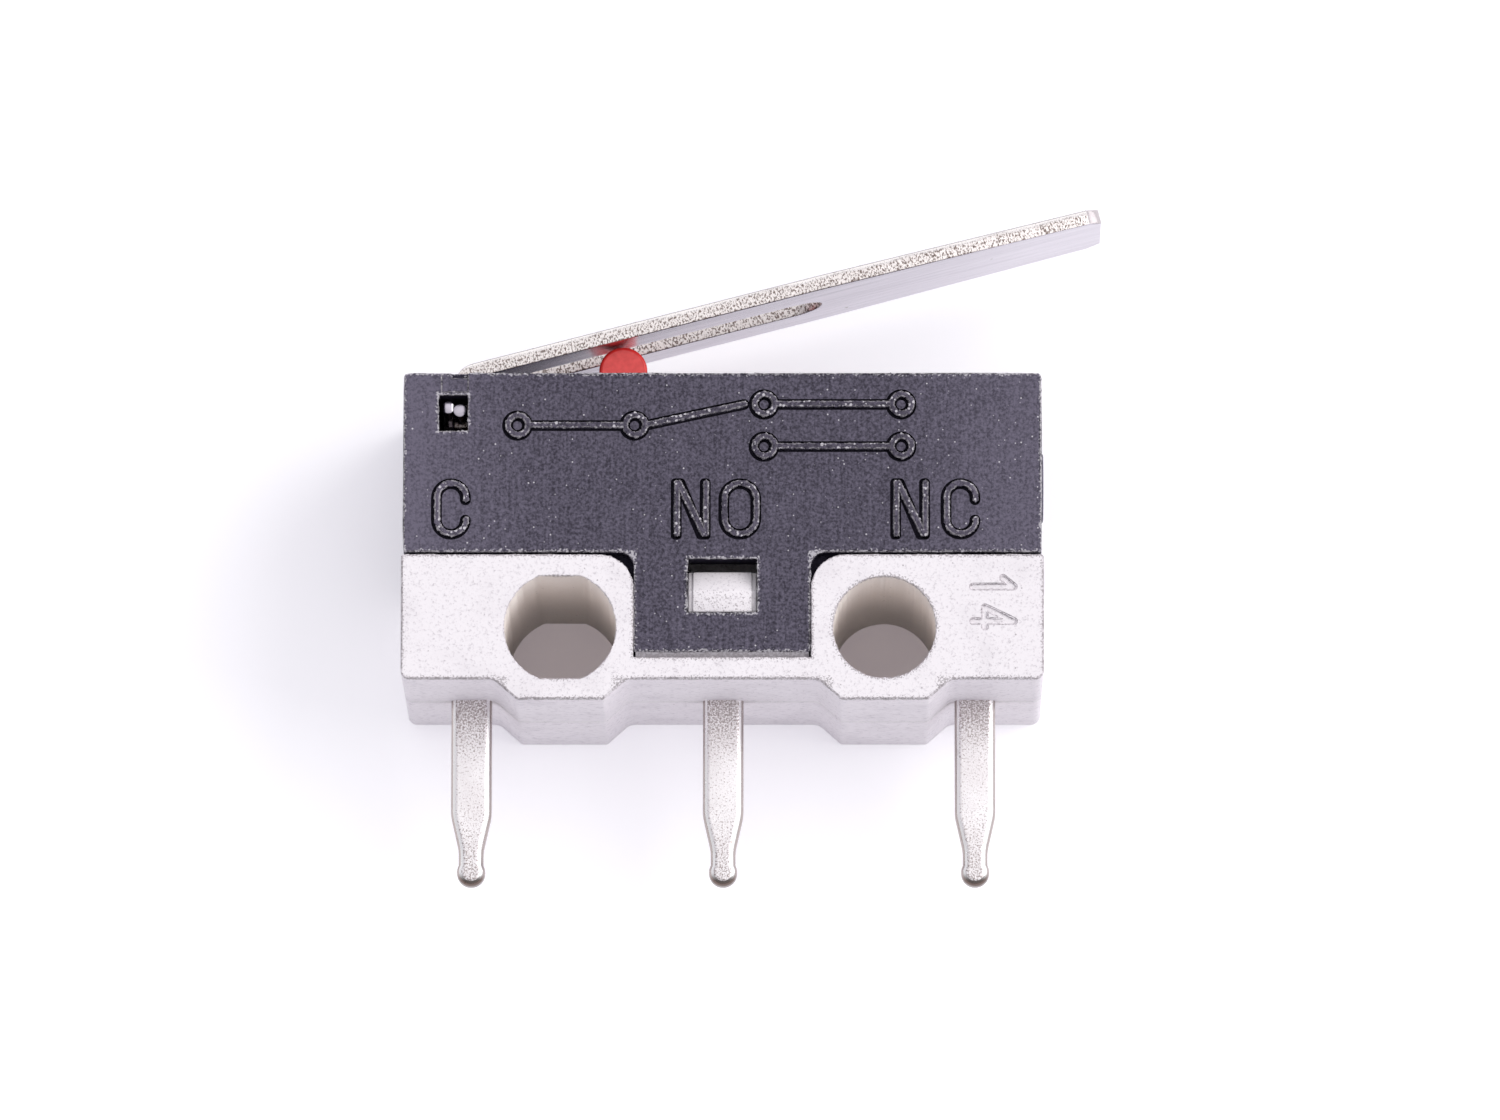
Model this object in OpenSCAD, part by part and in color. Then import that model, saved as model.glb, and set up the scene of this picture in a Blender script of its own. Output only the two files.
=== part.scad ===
// Ultra-subminiature snap-action switch with a hinged lever and three straight pins.
// X runs along the case, Y towards the lever and Z out of the front face.
// The origin lies midway between the two mounting holes, on the back face.

/* [Case] */
// Length of the case, measured on the base
case_length = 12.88; // [12.4:0.02:14]
// How far the cover's ends lie inside the base's
cover_inset = 0.04; // [0.02:0.01:0.1]
// Thickness of the case, from the back face to the front face
case_thickness = 5.8; // [5.6:0.1:7]
// Height of the cover's top above the hole centres
top_height = 5.16; // [4.9:0.02:6]
// Height of the cover's lower edge above the hole centres
skirt_height = 1.5; // [1.4:0.02:1.6]
// Gap between the cover's lower edge and the base's shoulders
joint_gap = 0.05; // [0.02:0.01:0.1]
// Thickness of the cover's front and back walls
cover_wall = 0.75; // [0.6:0.05:0.9]
// Thickness of the cover's end walls
end_wall = 0.6; // [0.4:0.05:0.7]
// Thickness of the cover's top wall
top_wall = 0.7; // [0.5:0.05:0.8]
// Radius of the cover's upper corners
cover_corner = 0.15; // [0.05:0.05:0.4]
// How far the cover's faces lie below the base's, which leaves room for raised marks
cover_relief = 0.05; // [0.02:0.01:0.1]
// Diameter of the moulding gate's mark on the cover's right end
gate_width = 1.44; // [0.8:0.02:1.6]
// How far the gate's mark stands out
gate_height = 0.07; // [0.02:0.01:0.1]

/* [Tabs and latches] */
// Width of the tab in the middle of the cover's front and back walls
tab_width = 3.54; // [3:0.02:3.7]
// Height of the tab's lower end, measured from the hole centres
tab_bottom = -0.49; // [-0.7:0.01:-0.2]
// Gap beside and behind the tab
tab_gap = 0.04; // [0.02:0.01:0.08]
// Gap under the tab
tab_drop = 0.12; // [0.05:0.01:0.2]
// Radius of the inner corners between tab and wall
tab_fillet = 0.3; // [0.1:0.05:0.4]
// Radius of the base's shoulders beside the tab
shoulder_radius = 0.7; // [0.5:0.05:0.8]
// Width of the window in the tab
window_width = 1.4; // [1.3:0.02:2]
// Height of the window's lower edge
window_bottom = 0.3; // [0.1:0.02:0.4]
// Height of the window's upper edge
window_top = 1.38; // [1.2:0.02:1.44]
// Width of the latch that stands in the window
latch_width = 1.2; // [0.8:0.02:1.24]
// Length of the latch's flat land
latch_land = 0.42; // [0.2:0.02:0.6]
// Length of the latch's ramp
latch_ramp = 0.4; // [0.2:0.02:0.44]
// How far the latch stands out of its recess
latch_height = 0.55; // [0.3:0.05:0.6]
// Gap between the latch and the window's lower edge
latch_gap = 0.03; // [0.01:0.01:0.06]
// Depth of the pocket in the base above each latch
latch_pocket = 1; // [0.4:0.1:1.2]

/* [Base] */
// Height of the base's underside, measured from the hole centres
base_bottom = -1.05; // [-1.3:0.01:-0.9]
// How far the two feet stand below the underside
foot_height = 0.36; // [0.2:0.02:0.6]
// Length of each foot where it stands
foot_length = 1.74; // [1.4:0.02:2]
// Length of each foot where it meets the underside
foot_root = 2.66; // [2.2:0.02:2.7]
// Height of the platform inside the cover above the shoulders
platform_step = 0.3; // [0.2:0.02:0.5]
// Gap between the platform and the cover's inside
platform_gap = 0.05; // [0.02:0.01:0.1]

/* [Mounting holes] */
// Distance between the two hole centres
hole_pitch = 6.5; // [6.3:0.05:6.6]
// Radius of the round hole
hole_radius = 1.03; // [0.9:0.01:1.08]
// Radius of the wide hole, which has flats
wide_hole_radius = 1.12; // [1.1:0.01:1.18]
// Distance between the wide hole's flats
wide_hole_flats = 2.08; // [2:0.02:2.14]

/* [Terminals] */
// Distance from each pin to the next
pin_pitch = 5.08; // [5:0.02:5.6]
// Width of a pin
pin_width = 0.82; // [0.7:0.02:0.9]
// Length of the pins below the feet
pin_length = 3.45; // [3:0.05:5]
// Thickness of the terminal plates
plate_thickness = 0.5; // [0.3:0.05:0.7]
// Chamfer along a pin's four long edges
pin_chamfer = 0.1; // [0.02:0.01:0.14]
// Radius of a pin's round tip
pin_bulb = 0.285; // [0.26:0.005:0.3]
// Width of a pin's neck above the tip
pin_neck = 0.5; // [0.4:0.02:0.51]
// Distance from the tip up to the neck
neck_from_tip = 0.75; // [0.5:0.05:1]
// Distance from the tip up to the pin's full width
taper_from_tip = 1.46; // [1.2:0.05:2]
// Width of a terminal's arm inside the case
arm_width = 0.6; // [0.5:0.02:0.7]
// Width of a terminal's upright post
post_width = 0.55; // [0.4:0.05:0.7]
// Gap between the posts and the cover's end walls
post_gap = 0.25; // [0.1:0.05:0.4]

/* [Contacts] */
// Distance of the contacts from the middle of the case
contact_x = 3.8; // [3.5:0.05:3.9]
// Radius of the fixed contacts' crowns
contact_radius = 0.23; // [0.15:0.01:0.3]
// Length of the fixed contacts across the plates
contact_length = 1.2; // [0.8:0.05:1.6]
// Radius of the moving contact
moving_radius = 0.3; // [0.2:0.01:0.35]
// Length of the moving contact along the blade
moving_length = 0.9; // [0.5:0.05:1]
// Open gap between the moving contact and the lower contact
contact_gap = 0.32; // [0.2:0.01:0.4]
// Play between the moving contact and the upper contact at rest
contact_play = 0.02; // [0.01:0.01:0.05]

/* [Snap blade] */
// Height of the blade's ends above the platform
blade_lift = 1; // [0.9:0.02:1.2]
// Thickness of the blade
blade_thickness = 0.1; // [0.06:0.01:0.14]
// Width of the blade
blade_width = 2.6; // [2.2:0.05:3]
// Rise of the blade's crest under the plunger
blade_crest = 0.68; // [0.5:0.02:0.8]
// Width of the tongue in the middle of the blade
tongue_width = 0.9; // [0.6:0.05:1]
// Gap beside the tongue
tongue_gap = 0.1; // [0.05:0.01:0.2]
// How far the tongue bows below its ends
tongue_sag = 0.35; // [0.2:0.05:0.5]
// Distance of the tongue's root from the contact
tongue_root = 1.4; // [1.2:0.05:1.8]
// Gap between the blade or its tongue and the posts that hold them
seat_gap = 0.03; // [0.02:0.01:0.06]

/* [Lever] */
// Distance of the pivot from the cover's end
pivot_inset = 1.12; // [1.05:0.02:1.4]
// Distance of the pivot below the cover's top
pivot_drop = 0.68; // [0.6:0.02:0.75]
// Thickness of the lever's sheet
lever_thickness = 0.3; // [0.2:0.02:0.34]
// Width of the lever
lever_width = 3.2; // [2.8:0.05:3.4]
// Width of the lever's tip
tip_width = 2.6; // [1.6:0.05:2.8]
// Length of the lever from its pivot
lever_length = 13.55; // [11:0.05:18]
// Slope of the lever at rest
lever_angle = 14.5; // [13:0.1:17]
// How far the lever turns when it is pressed
lever_travel = 12.5; // [8:0.5:12.5]
// Distance of the lever's underside from the pivot
lever_rise = 0.743; // [0.72:0.001:0.9]
// Inner radius of the bend between leg and arm
bend_radius = 0.2; // [0.1:0.02:0.26]
// Radius of the ears that the lever turns on
ear_radius = 0.14; // [0.1:0.01:0.16]
// How far the ears end below the case's faces
ear_inset = 0.35; // [0.1:0.05:0.5]
// Length of the leg below the pivot
leg_tail = 0.2; // [0.18:0.01:0.26]
// Width of the slot in the lever
slot_width = 1.1; // [0.6:0.05:1.4]
// Distance from the pivot to the slot's near end
slot_near = 1.2; // [1:0.05:1.6]
// Distance from the pivot to the slot's far end
slot_far = 7.7; // [5:0.05:9]
// Chamfer on the corners of the tip
tip_chamfer = 0.25; // [0.1:0.05:0.5]
// Gap between the leg and its slot in the cover
leg_gap = 0.08; // [0.06:0.01:0.1]
// Gap between an ear and the near side of its hole
ear_gap = 0.03; // [0.02:0.01:0.06]
// Width of the holes for the ears
ear_hole_width = 0.59; // [0.5:0.01:0.64]
// Height of the holes for the ears
ear_hole_height = 0.74; // [0.6:0.01:0.8]
// How far the holes reach above the pivot
ear_hole_rise = 0.265; // [0.22:0.005:0.3]

/* [Plunger] */
// Place of the plunger along the case
plunger_x = -2.02; // [-2.1:0.02:-1.6]
// Radius of the plunger's dome
plunger_radius = 0.487; // [0.4:0.001:0.52]
// Depth of the plunger across the case
plunger_depth = 2.2; // [1.6:0.05:2.6]
// Gap between the dome and the lever
plunger_gap = 0.03; // [0.02:0.01:0.05]
// Gap between the plunger and its guide in the cover
guide_gap = 0.05; // [0.03:0.01:0.1]
// How far the flange stands out around the plunger
flange_lip = 0.3; // [0.2:0.02:0.4]
// Height of the flange
flange_height = 0.4; // [0.3:0.02:0.5]
// Radius of the plunger's foot
foot_radius = 0.4; // [0.3:0.02:0.45]
// Gap between the foot and the blade's crest
foot_gap = 0.05; // [0.02:0.01:0.08]

/* [Hidden] */
$fn = 64;
// Extra length of a cut past the face that it opens
past = 1;
// Depth to which one feature is sunk into the other that carries it
sunk = 0.1;

// Case
end_x = case_length / 2;
cover_x = end_x - cover_inset;
mid_z = case_thickness / 2;
cavity_x = cover_x - end_wall;
roof_y = top_height - top_wall;
shoulder_y = skirt_height - joint_gap;
foot_y = base_bottom - foot_height;
recess_depth = cover_wall + tab_gap;
gate_y = (skirt_height + top_height) / 2;
latch_bottom = window_bottom + latch_gap;
latch_top = latch_bottom + latch_land + latch_ramp;
platform_y = shoulder_y + platform_step;

// Terminals
tip_y = foot_y - pin_length;
neck_y = tip_y + neck_from_tip;
post_x = cavity_x - post_gap;
blade_y = platform_y + blade_lift;
lower_arm_y = blade_y - moving_radius - contact_gap - contact_radius;
upper_arm_y = blade_y + moving_radius + contact_play + contact_radius;
arm_bottom = lower_arm_y - arm_width;
// Reach of an arm past the middle of its contact
arm_reach = contact_radius + sunk;
notch_depth = 0.15;
notch_height = 3 * blade_thickness;
anchor_top = blade_y + 2 * notch_height;

// Snap blade
blade_left = -post_x + post_width - notch_depth + seat_gap;
blade_right = contact_x + moving_length / 2 + sunk;
// Where the arched part of the blade ends and its flat contact end starts
blade_flat = contact_x - moving_length / 2 - 2 * sunk;
rail_gap = tongue_width + 2 * tongue_gap;
left_reach = plunger_x - blade_left;
right_reach = blade_flat - plunger_x;
left_bow = arc_radius(left_reach, blade_crest);
right_bow = arc_radius(right_reach, blade_crest);
crest_y = blade_y + blade_crest;
root_x = contact_x - tongue_root;
root_y = crest_y - right_bow + sqrt(pow(right_bow, 2) - pow(root_x - plunger_x, 2));
// The seat post stands clear of the plunger's foot
seat_right = plunger_x - foot_radius - 2 * tongue_gap;
seat_left = seat_right - post_width;
seat_top = blade_y + notch_height;

// Lever
pivot_x = -cover_x + pivot_inset;
pivot_y = top_height - pivot_drop;
bend_x = lever_thickness / 2 + bend_radius;
bend_y = (lever_rise - bend_radius + sin(lever_angle) * bend_x) / cos(lever_angle);
leg_swing = pivot_drop * sin(lever_travel);
tail_swing = leg_tail * sin(lever_travel);

// Plunger, whose dome lies under the lever's underside
plunger_arm = plunger_x - pivot_x;
dome_y = pivot_y + (lever_rise - plunger_radius - plunger_gap) / cos(lever_angle)
    + plunger_arm * tan(lever_angle);
flange_top = roof_y - guide_gap;
flange_bottom = flange_top - flange_height;
heel_y = crest_y + blade_thickness / 2 + foot_gap;

// Radius of an arc that rises by sag over half its chord
function arc_radius(half_chord, sag) = (pow(half_chord, 2) + pow(sag, 2)) / (2 * sag);

// Rectangle between two corners
module area(x0, x1, y0, y1) {
    translate([x0, y0]) square([x1 - x0, y1 - y0]);
}

// Flat shape drawn out between two heights
module layer(z0, z1) {
    translate([0, 0, z0]) linear_extrude(z1 - z0) children();
}

// Flat shape drawn out across the middle of the case
module across(width) {
    layer(mid_z - width / 2, mid_z + width / 2) children();
}

// The same feature on the front and on the back, drawn with its height from the middle
module both_faces() {
    for (side = [0, 1]) translate([0, 0, mid_z]) mirror([0, 0, side]) children();
}

// The same feature at both ends of the case
module both_ends() {
    for (side = [0, 1]) mirror([side, 0]) children();
}

// What lies outside a round corner of the given radius, with the corner at the origin
module corner_waste(radius) {
    difference() {
        square(radius);
        translate([radius, radius]) circle(radius);
    }
}

// Ring of the given thickness about a middle radius
module ring(radius, thickness) {
    difference() {
        circle(radius + thickness / 2, $fn = 128);
        circle(radius - thickness / 2, $fn = 128);
    }
}

// Front view of the cover's box, with its two upper corners rounded
module cover_face() {
    difference() {
        area(-cover_x, cover_x, skirt_height, top_height);
        both_ends() translate([-cover_x, top_height]) mirror([0, 1]) corner_waste(cover_corner);
    }
}

// Front view of the cover's tab, with its window
module tab_face() {
    half = tab_width / 2;
    difference() {
        union() {
            area(-half, half, tab_bottom, skirt_height + sunk);
            both_ends() translate([half, skirt_height]) mirror([0, 1]) corner_waste(tab_fillet);
        }
        area(-window_width / 2, window_width / 2, window_bottom, window_top);
    }
}

// Holes in the cover for the lever's leg and ears
module lever_openings() {
    back = lever_thickness / 2 + tail_swing + leg_gap / 2;
    front = lever_thickness / 2 + leg_swing + leg_gap;
    near = ear_radius + ear_gap;
    translate([pivot_x, pivot_y, 0]) {
        across(lever_width + 2 * leg_gap) area(-back, front, -top_wall, pivot_drop + past);
        layer(-past, case_thickness + past)
            area(near - ear_hole_width, near, ear_hole_rise - ear_hole_height, ear_hole_rise);
    }
}

module cover() {
    guide = plunger_radius + guide_gap;
    color("#4a4850") difference() {
        union() {
            across(case_thickness - 2 * cover_relief) cover_face();
            both_faces() layer(mid_z - cover_wall, mid_z - cover_relief) tab_face();
            translate([cover_x - sunk, gate_y, mid_z]) rotate([0, 90, 0])
                cylinder(d = gate_width, h = gate_height + sunk);
        }
        across(case_thickness - 2 * cover_wall)
            area(-cavity_x, cavity_x, tab_bottom - past, roof_y);
        lever_openings();
        across(plunger_depth + 2 * guide_gap)
            area(plunger_x - guide, plunger_x + guide, roof_y - sunk, top_height + past);
    }
}

// Front view of the base, with a foot under each mounting hole
module base_face() {
    area(-end_x, end_x, base_bottom, shoulder_y);
    both_ends() translate([hole_pitch / 2, 0]) polygon([
        [-foot_root / 2, 0], [-foot_root / 2, base_bottom], [-foot_length / 2, foot_y],
        [foot_length / 2, foot_y], [foot_root / 2, base_bottom], [foot_root / 2, 0]
    ]);
}

// Front view of the recess that takes the cover's tab, between two round shoulders
module tab_recess() {
    half = tab_width / 2 + tab_gap;
    area(-half, half, tab_bottom - tab_drop, shoulder_y + past);
    both_ends() translate([half, shoulder_y]) mirror([0, 1]) corner_waste(shoulder_radius);
}

// Latch with a ramp above, a flat land and a catch below, standing on the recess floor
module latch() {
    land_top = latch_bottom + latch_land;
    translate([-latch_width / 2, 0, mid_z - recess_depth]) rotate([90, 0, 90]) linear_extrude(latch_width)
        polygon([
            [latch_bottom, -sunk], [latch_bottom, latch_height], [land_top, latch_height],
            [latch_top, 0], [latch_top, -sunk]
        ]);
}

module mounting_holes() {
    translate([hole_pitch / 2, 0, -past]) cylinder(r = hole_radius, h = case_thickness + 2 * past);
    translate([-hole_pitch / 2, 0, -past]) intersection() {
        cylinder(r = wide_hole_radius, h = case_thickness + 2 * past);
        linear_extrude(case_thickness + 2 * past)
            square([2 * wide_hole_radius + past, wide_hole_flats], center = true);
    }
}

module base() {
    color("#eeeaf0") difference() {
        union() {
            difference() {
                layer(0, case_thickness) base_face();
                both_faces() layer(mid_z - recess_depth, mid_z + past) tab_recess();
            }
            across(case_thickness - 2 * (cover_wall + platform_gap))
                area(-cavity_x + platform_gap, cavity_x - platform_gap, shoulder_y - sunk, platform_y);
            both_faces() latch();
        }
        mounting_holes();
        both_faces() layer(mid_z - recess_depth - latch_pocket, mid_z + past)
            area(-window_width / 2, window_width / 2, latch_top, platform_y + past);
        common_plate();
        no_plate();
        nc_plate();
    }
}

// Areas of one terminal plate, each drawn out to the plate's thickness
module plate() {
    for (i = [0:1:$children - 1]) across(plate_thickness) children(i);
}

// What is cut from one long edge of a pin, from its neck up into the base
module pin_waste() {
    cut = pin_chamfer;
    translate([pin_width / 2, neck_y, plate_thickness / 2]) rotate([-90, 0, 0])
        linear_extrude(base_bottom + sunk - neck_y)
            polygon([[-cut, 0], [0, cut], [cut, cut], [cut, -cut], [-cut, -cut]]);
}

// Pin with chamfered edges, a round tip and a neck, which runs up into the base
module pin(x) {
    half = pin_width / 2;
    neck = pin_neck / 2;
    bulb_y = tip_y + pin_bulb;
    taper_y = tip_y + taper_from_tip;
    translate([x, 0, 0]) difference() {
        plate() {
            translate([0, bulb_y]) circle(pin_bulb);
            polygon([
                [-neck, bulb_y], [-neck, neck_y], [-half, taper_y], [-half, shoulder_y],
                [half, shoulder_y], [half, taper_y], [neck, neck_y], [neck, bulb_y]
            ]);
        }
        for (side = [0, 1]) both_faces() mirror([side, 0, 0]) pin_waste();
    }
}

// Band inside the base that leads from an outer pin to its post
module post_band() {
    left = min(pin_pitch - pin_width / 2, post_x - post_width);
    right = max(pin_pitch + pin_width / 2, post_x);
    plate() area(left, right, arm_bottom, shoulder_y);
}

// Pin, arm, anchor post with a notch for the blade, and seat post for its tongue
module common_plate() {
    pin(-pin_pitch);
    mirror([1, 0, 0]) post_band();
    plate() {
        area(-post_x, seat_right, arm_bottom, lower_arm_y);
        area(seat_left, seat_right, arm_bottom, seat_top);
        difference() {
            area(-post_x, -post_x + post_width, arm_bottom, anchor_top);
            translate([-post_x + post_width, blade_y])
                area(-notch_depth, past, -notch_height / 2, notch_height / 2);
        }
    }
}

// Pin and the arm that carries the lower contact
module no_plate() {
    pin(0);
    plate() area(-pin_width / 2, contact_x + arm_reach, arm_bottom, lower_arm_y);
}

// Pin, post and the arm that holds the upper contact over the blade
module nc_plate() {
    pin(pin_pitch);
    post_band();
    plate() {
        area(post_x - post_width, post_x, arm_bottom, upper_arm_y + post_width);
        area(contact_x - arm_reach, post_x, upper_arm_y, upper_arm_y + post_width);
    }
}

module common_terminal() {
    color("#cfcbc6") common_plate();
}

module no_terminal() {
    color("#cfcbc6") no_plate();
}

module nc_terminal() {
    color("#cfcbc6") nc_plate();
}

// Half-round contact bar on the edge of an arm, crown up or down
module contact_bar(arm_edge, up) {
    color("#d9d4c4") across(contact_length) intersection() {
        translate([contact_x, arm_edge]) circle(contact_radius);
        area(contact_x - contact_radius, contact_x + contact_radius,
             up ? arm_edge : arm_edge - contact_radius, up ? arm_edge + contact_radius : arm_edge);
    }
}

module no_contact() {
    contact_bar(lower_arm_y, true);
}

module nc_contact() {
    contact_bar(upper_arm_y, false);
}

module moving_contact() {
    color("#d9d4c4") translate([contact_x - moving_length / 2, blade_y, mid_z])
        rotate([0, 90, 0]) cylinder(r = moving_radius, h = moving_length);
}

// Side view of the blade's rails: two arcs that meet in a crest, and a flat contact end
module rail_face() {
    half = blade_thickness / 2;
    intersection() {
        translate([plunger_x, crest_y - left_bow]) ring(left_bow, blade_thickness);
        area(blade_left, plunger_x, blade_y - past, crest_y + past);
    }
    intersection() {
        translate([plunger_x, crest_y - right_bow]) ring(right_bow, blade_thickness);
        area(plunger_x, blade_flat + sunk, blade_y - past, crest_y + past);
    }
    area(blade_flat, blade_right, blade_y - half, blade_y + half);
}

// Side view of the tongue: one arc from its root, bowed down, to its seat
module tongue_face() {
    root = [root_x + sunk, root_y];
    seat = [seat_right + seat_gap, blade_y];
    chord = root - seat;
    normal = [-chord.y, chord.x] / norm(chord);
    bow = arc_radius(norm(chord) / 2, tongue_sag);
    centre = (root + seat) / 2 + normal * (bow - tongue_sag);
    // The clipping wedge reaches well past the ring
    reach = 1.4;
    intersection() {
        translate(centre) ring(bow, blade_thickness);
        polygon([centre, centre + reach * (seat - centre), centre + reach * (root - centre)]);
    }
}

module snap_blade() {
    color("#c98f4e") difference() {
        union() {
            difference() {
                across(blade_width) rail_face();
                across(rail_gap) area(blade_left + post_width, root_x, blade_y - past, crest_y + past);
            }
            across(tongue_width) tongue_face();
        }
        moving_contact();
    }
}

// Side view of the lever about the pivot: leg, round bend and arm
module lever_side() {
    half = lever_thickness / 2;
    outer = bend_radius + lever_thickness;
    along = [cos(lever_angle), sin(lever_angle)];
    up = [-sin(lever_angle), cos(lever_angle)];
    bend = [bend_x, bend_y];
    // Where the leg's back and the arm's top would meet without the bend
    corner = [-half, (lever_rise + lever_thickness - sin(lever_angle) * half) / cos(lever_angle)];
    difference() {
        polygon([
            [-half, -leg_tail], corner,
            lever_length * along + (lever_rise + lever_thickness) * up,
            lever_length * along + lever_rise * up,
            bend + bend_radius * up, bend, [half, bend_y], [half, -leg_tail]
        ]);
        translate(bend) circle(bend_radius);
        difference() {
            polygon([corner, bend + outer * up, bend, [-half, bend_y]]);
            translate(bend) circle(outer);
        }
    }
}

// Plan of what is cut from one side of the arm: its taper past the slot and the tip's corner
module arm_waste() {
    root = lever_width / 2;
    tip = tip_width / 2;
    polygon([
        [slot_far, root], [lever_length - tip_chamfer, tip], [lever_length, tip - tip_chamfer],
        [lever_length + past, tip - tip_chamfer], [lever_length + past, root + past], [slot_far, root + past]
    ]);
}

// Plan of the slot in the arm
module arm_slot() {
    half = slot_width / 2;
    translate([slot_near + half, 0]) circle(half);
    translate([slot_far - half, 0]) circle(half);
    area(slot_near + half, slot_far - half, -half, half);
}

module lever() {
    color("#d6d2d4") translate([pivot_x, pivot_y, 0]) {
        difference() {
            across(lever_width) lever_side();
            rotate(lever_angle) translate([0, lever_rise + lever_thickness + past, mid_z])
                rotate([90, 0, 0]) linear_extrude(lever_thickness + 2 * past) {
                    arm_slot();
                    arm_waste();
                    mirror([0, 1]) arm_waste();
                }
        }
        translate([0, 0, ear_inset]) cylinder(r = ear_radius, h = case_thickness - 2 * ear_inset);
    }
}

module plunger() {
    flange = plunger_radius + flange_lip;
    color("#cf2e2e") translate([plunger_x, 0, 0]) {
        across(plunger_depth) {
            translate([0, dome_y]) circle(plunger_radius);
            area(-plunger_radius, plunger_radius, flange_top - sunk, dome_y);
        }
        across(plunger_depth + 2 * flange_lip) area(-flange, flange, flange_bottom, flange_top);
        across(plunger_depth) {
            translate([0, heel_y + foot_radius]) circle(foot_radius);
            area(-foot_radius, foot_radius, heel_y + foot_radius, flange_bottom + sunk);
        }
    }
}

base();
cover();
plunger();
lever();
common_terminal();
no_terminal();
nc_terminal();
no_contact();
nc_contact();
moving_contact();
snap_blade();
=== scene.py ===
"""Looks of a micro switch with a hinged lever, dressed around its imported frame.

Pieces are modelled in millimetres in the frame's own axes, and brought to metres when they are done.
X runs along the case, Y towards the lever and Z out of the front face.
"""

import logging
import math
from dataclasses import dataclass, field
from enum import Enum
from typing import Any, Callable, ClassVar, Sequence

import bpy
from mathutils import Matrix, Vector


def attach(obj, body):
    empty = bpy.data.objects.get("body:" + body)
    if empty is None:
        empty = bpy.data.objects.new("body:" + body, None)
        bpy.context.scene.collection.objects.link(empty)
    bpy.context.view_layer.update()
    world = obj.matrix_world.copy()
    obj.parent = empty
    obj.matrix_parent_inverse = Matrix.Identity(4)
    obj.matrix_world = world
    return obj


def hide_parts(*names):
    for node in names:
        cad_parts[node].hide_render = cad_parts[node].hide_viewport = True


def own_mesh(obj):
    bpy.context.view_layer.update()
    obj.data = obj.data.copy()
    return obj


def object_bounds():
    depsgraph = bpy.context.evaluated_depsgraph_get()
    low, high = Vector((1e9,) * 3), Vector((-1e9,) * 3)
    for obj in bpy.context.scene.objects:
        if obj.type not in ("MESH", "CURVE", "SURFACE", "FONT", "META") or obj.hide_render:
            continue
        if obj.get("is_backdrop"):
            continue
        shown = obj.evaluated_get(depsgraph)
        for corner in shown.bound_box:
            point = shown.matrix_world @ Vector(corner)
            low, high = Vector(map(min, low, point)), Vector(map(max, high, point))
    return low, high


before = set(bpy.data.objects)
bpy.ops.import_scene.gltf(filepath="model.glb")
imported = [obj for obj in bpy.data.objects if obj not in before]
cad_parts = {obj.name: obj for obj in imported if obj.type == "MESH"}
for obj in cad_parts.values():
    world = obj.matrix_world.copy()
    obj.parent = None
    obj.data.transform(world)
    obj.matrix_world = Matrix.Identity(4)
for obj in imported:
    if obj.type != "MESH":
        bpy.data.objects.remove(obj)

LOG = logging.getLogger("micro_switch")
# One millimetre, in the frame's metres
MILLIMETRE = 0.001
# How far a cutter reaches past the face that it opens, in millimetres
PAST = 1.0
# How deep one welded form is sunk into the other
SUNK = 0.1
# Longest stretch of a frayed rim between two of its points, and how often a longer one is halved at most
FRAY_STEP = 0.05
FRAY_ROUNDS = 8
FRAY_SEED = 5
# How far a frayed band stays clear of the level faces over and under it
FRAY_CLEAR = 1e-3
# Two points lie at one height when they differ by less than this
LEVEL = 1e-4
# Points that are closer together than this are one point
SAME_POINT = 1e-5
# Radius of a tight moulded corner, as a multiple of the rounding along its rims
CORNER_RATIO = 1.3
# Depths under a face between which its painted wear sets in
WEAR_DEPTH = (0.2, 0.1)
# Stands up a profile that is drawn in Y and Z, and lays its length along X
ALONG_X = Matrix(((0, 0, 1, 0), (1, 0, 0, 0), (0, 1, 0, 0), (0, 0, 0, 1)))

Point = tuple[float, float]
Corner = tuple[float, float, float]
Colour = tuple[float, float, float]
# Left, right, low and high side of an upright rectangle
Box = tuple[float, float, float, float]
Materials = dict[str, bpy.types.Material]
EdgeTest = Callable[[Vector, Vector], bool]


class Body(Enum):
    """Bodies of the frame that a piece can ride on."""

    CASE = "case"
    LEVER = "lever"
    PLUNGER = "plunger"
    BLADE = "blade"


class Slot(Enum):
    """Material slots of the record that a dressed piece can take."""

    WHITE = "white_plastic"
    BLACK = "black_plastic"
    RED = "red_plastic"
    SHEET = "stainless_sheet"
    PLATED = "plated_terminal"
    COPPER = "copper_spring"


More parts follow.
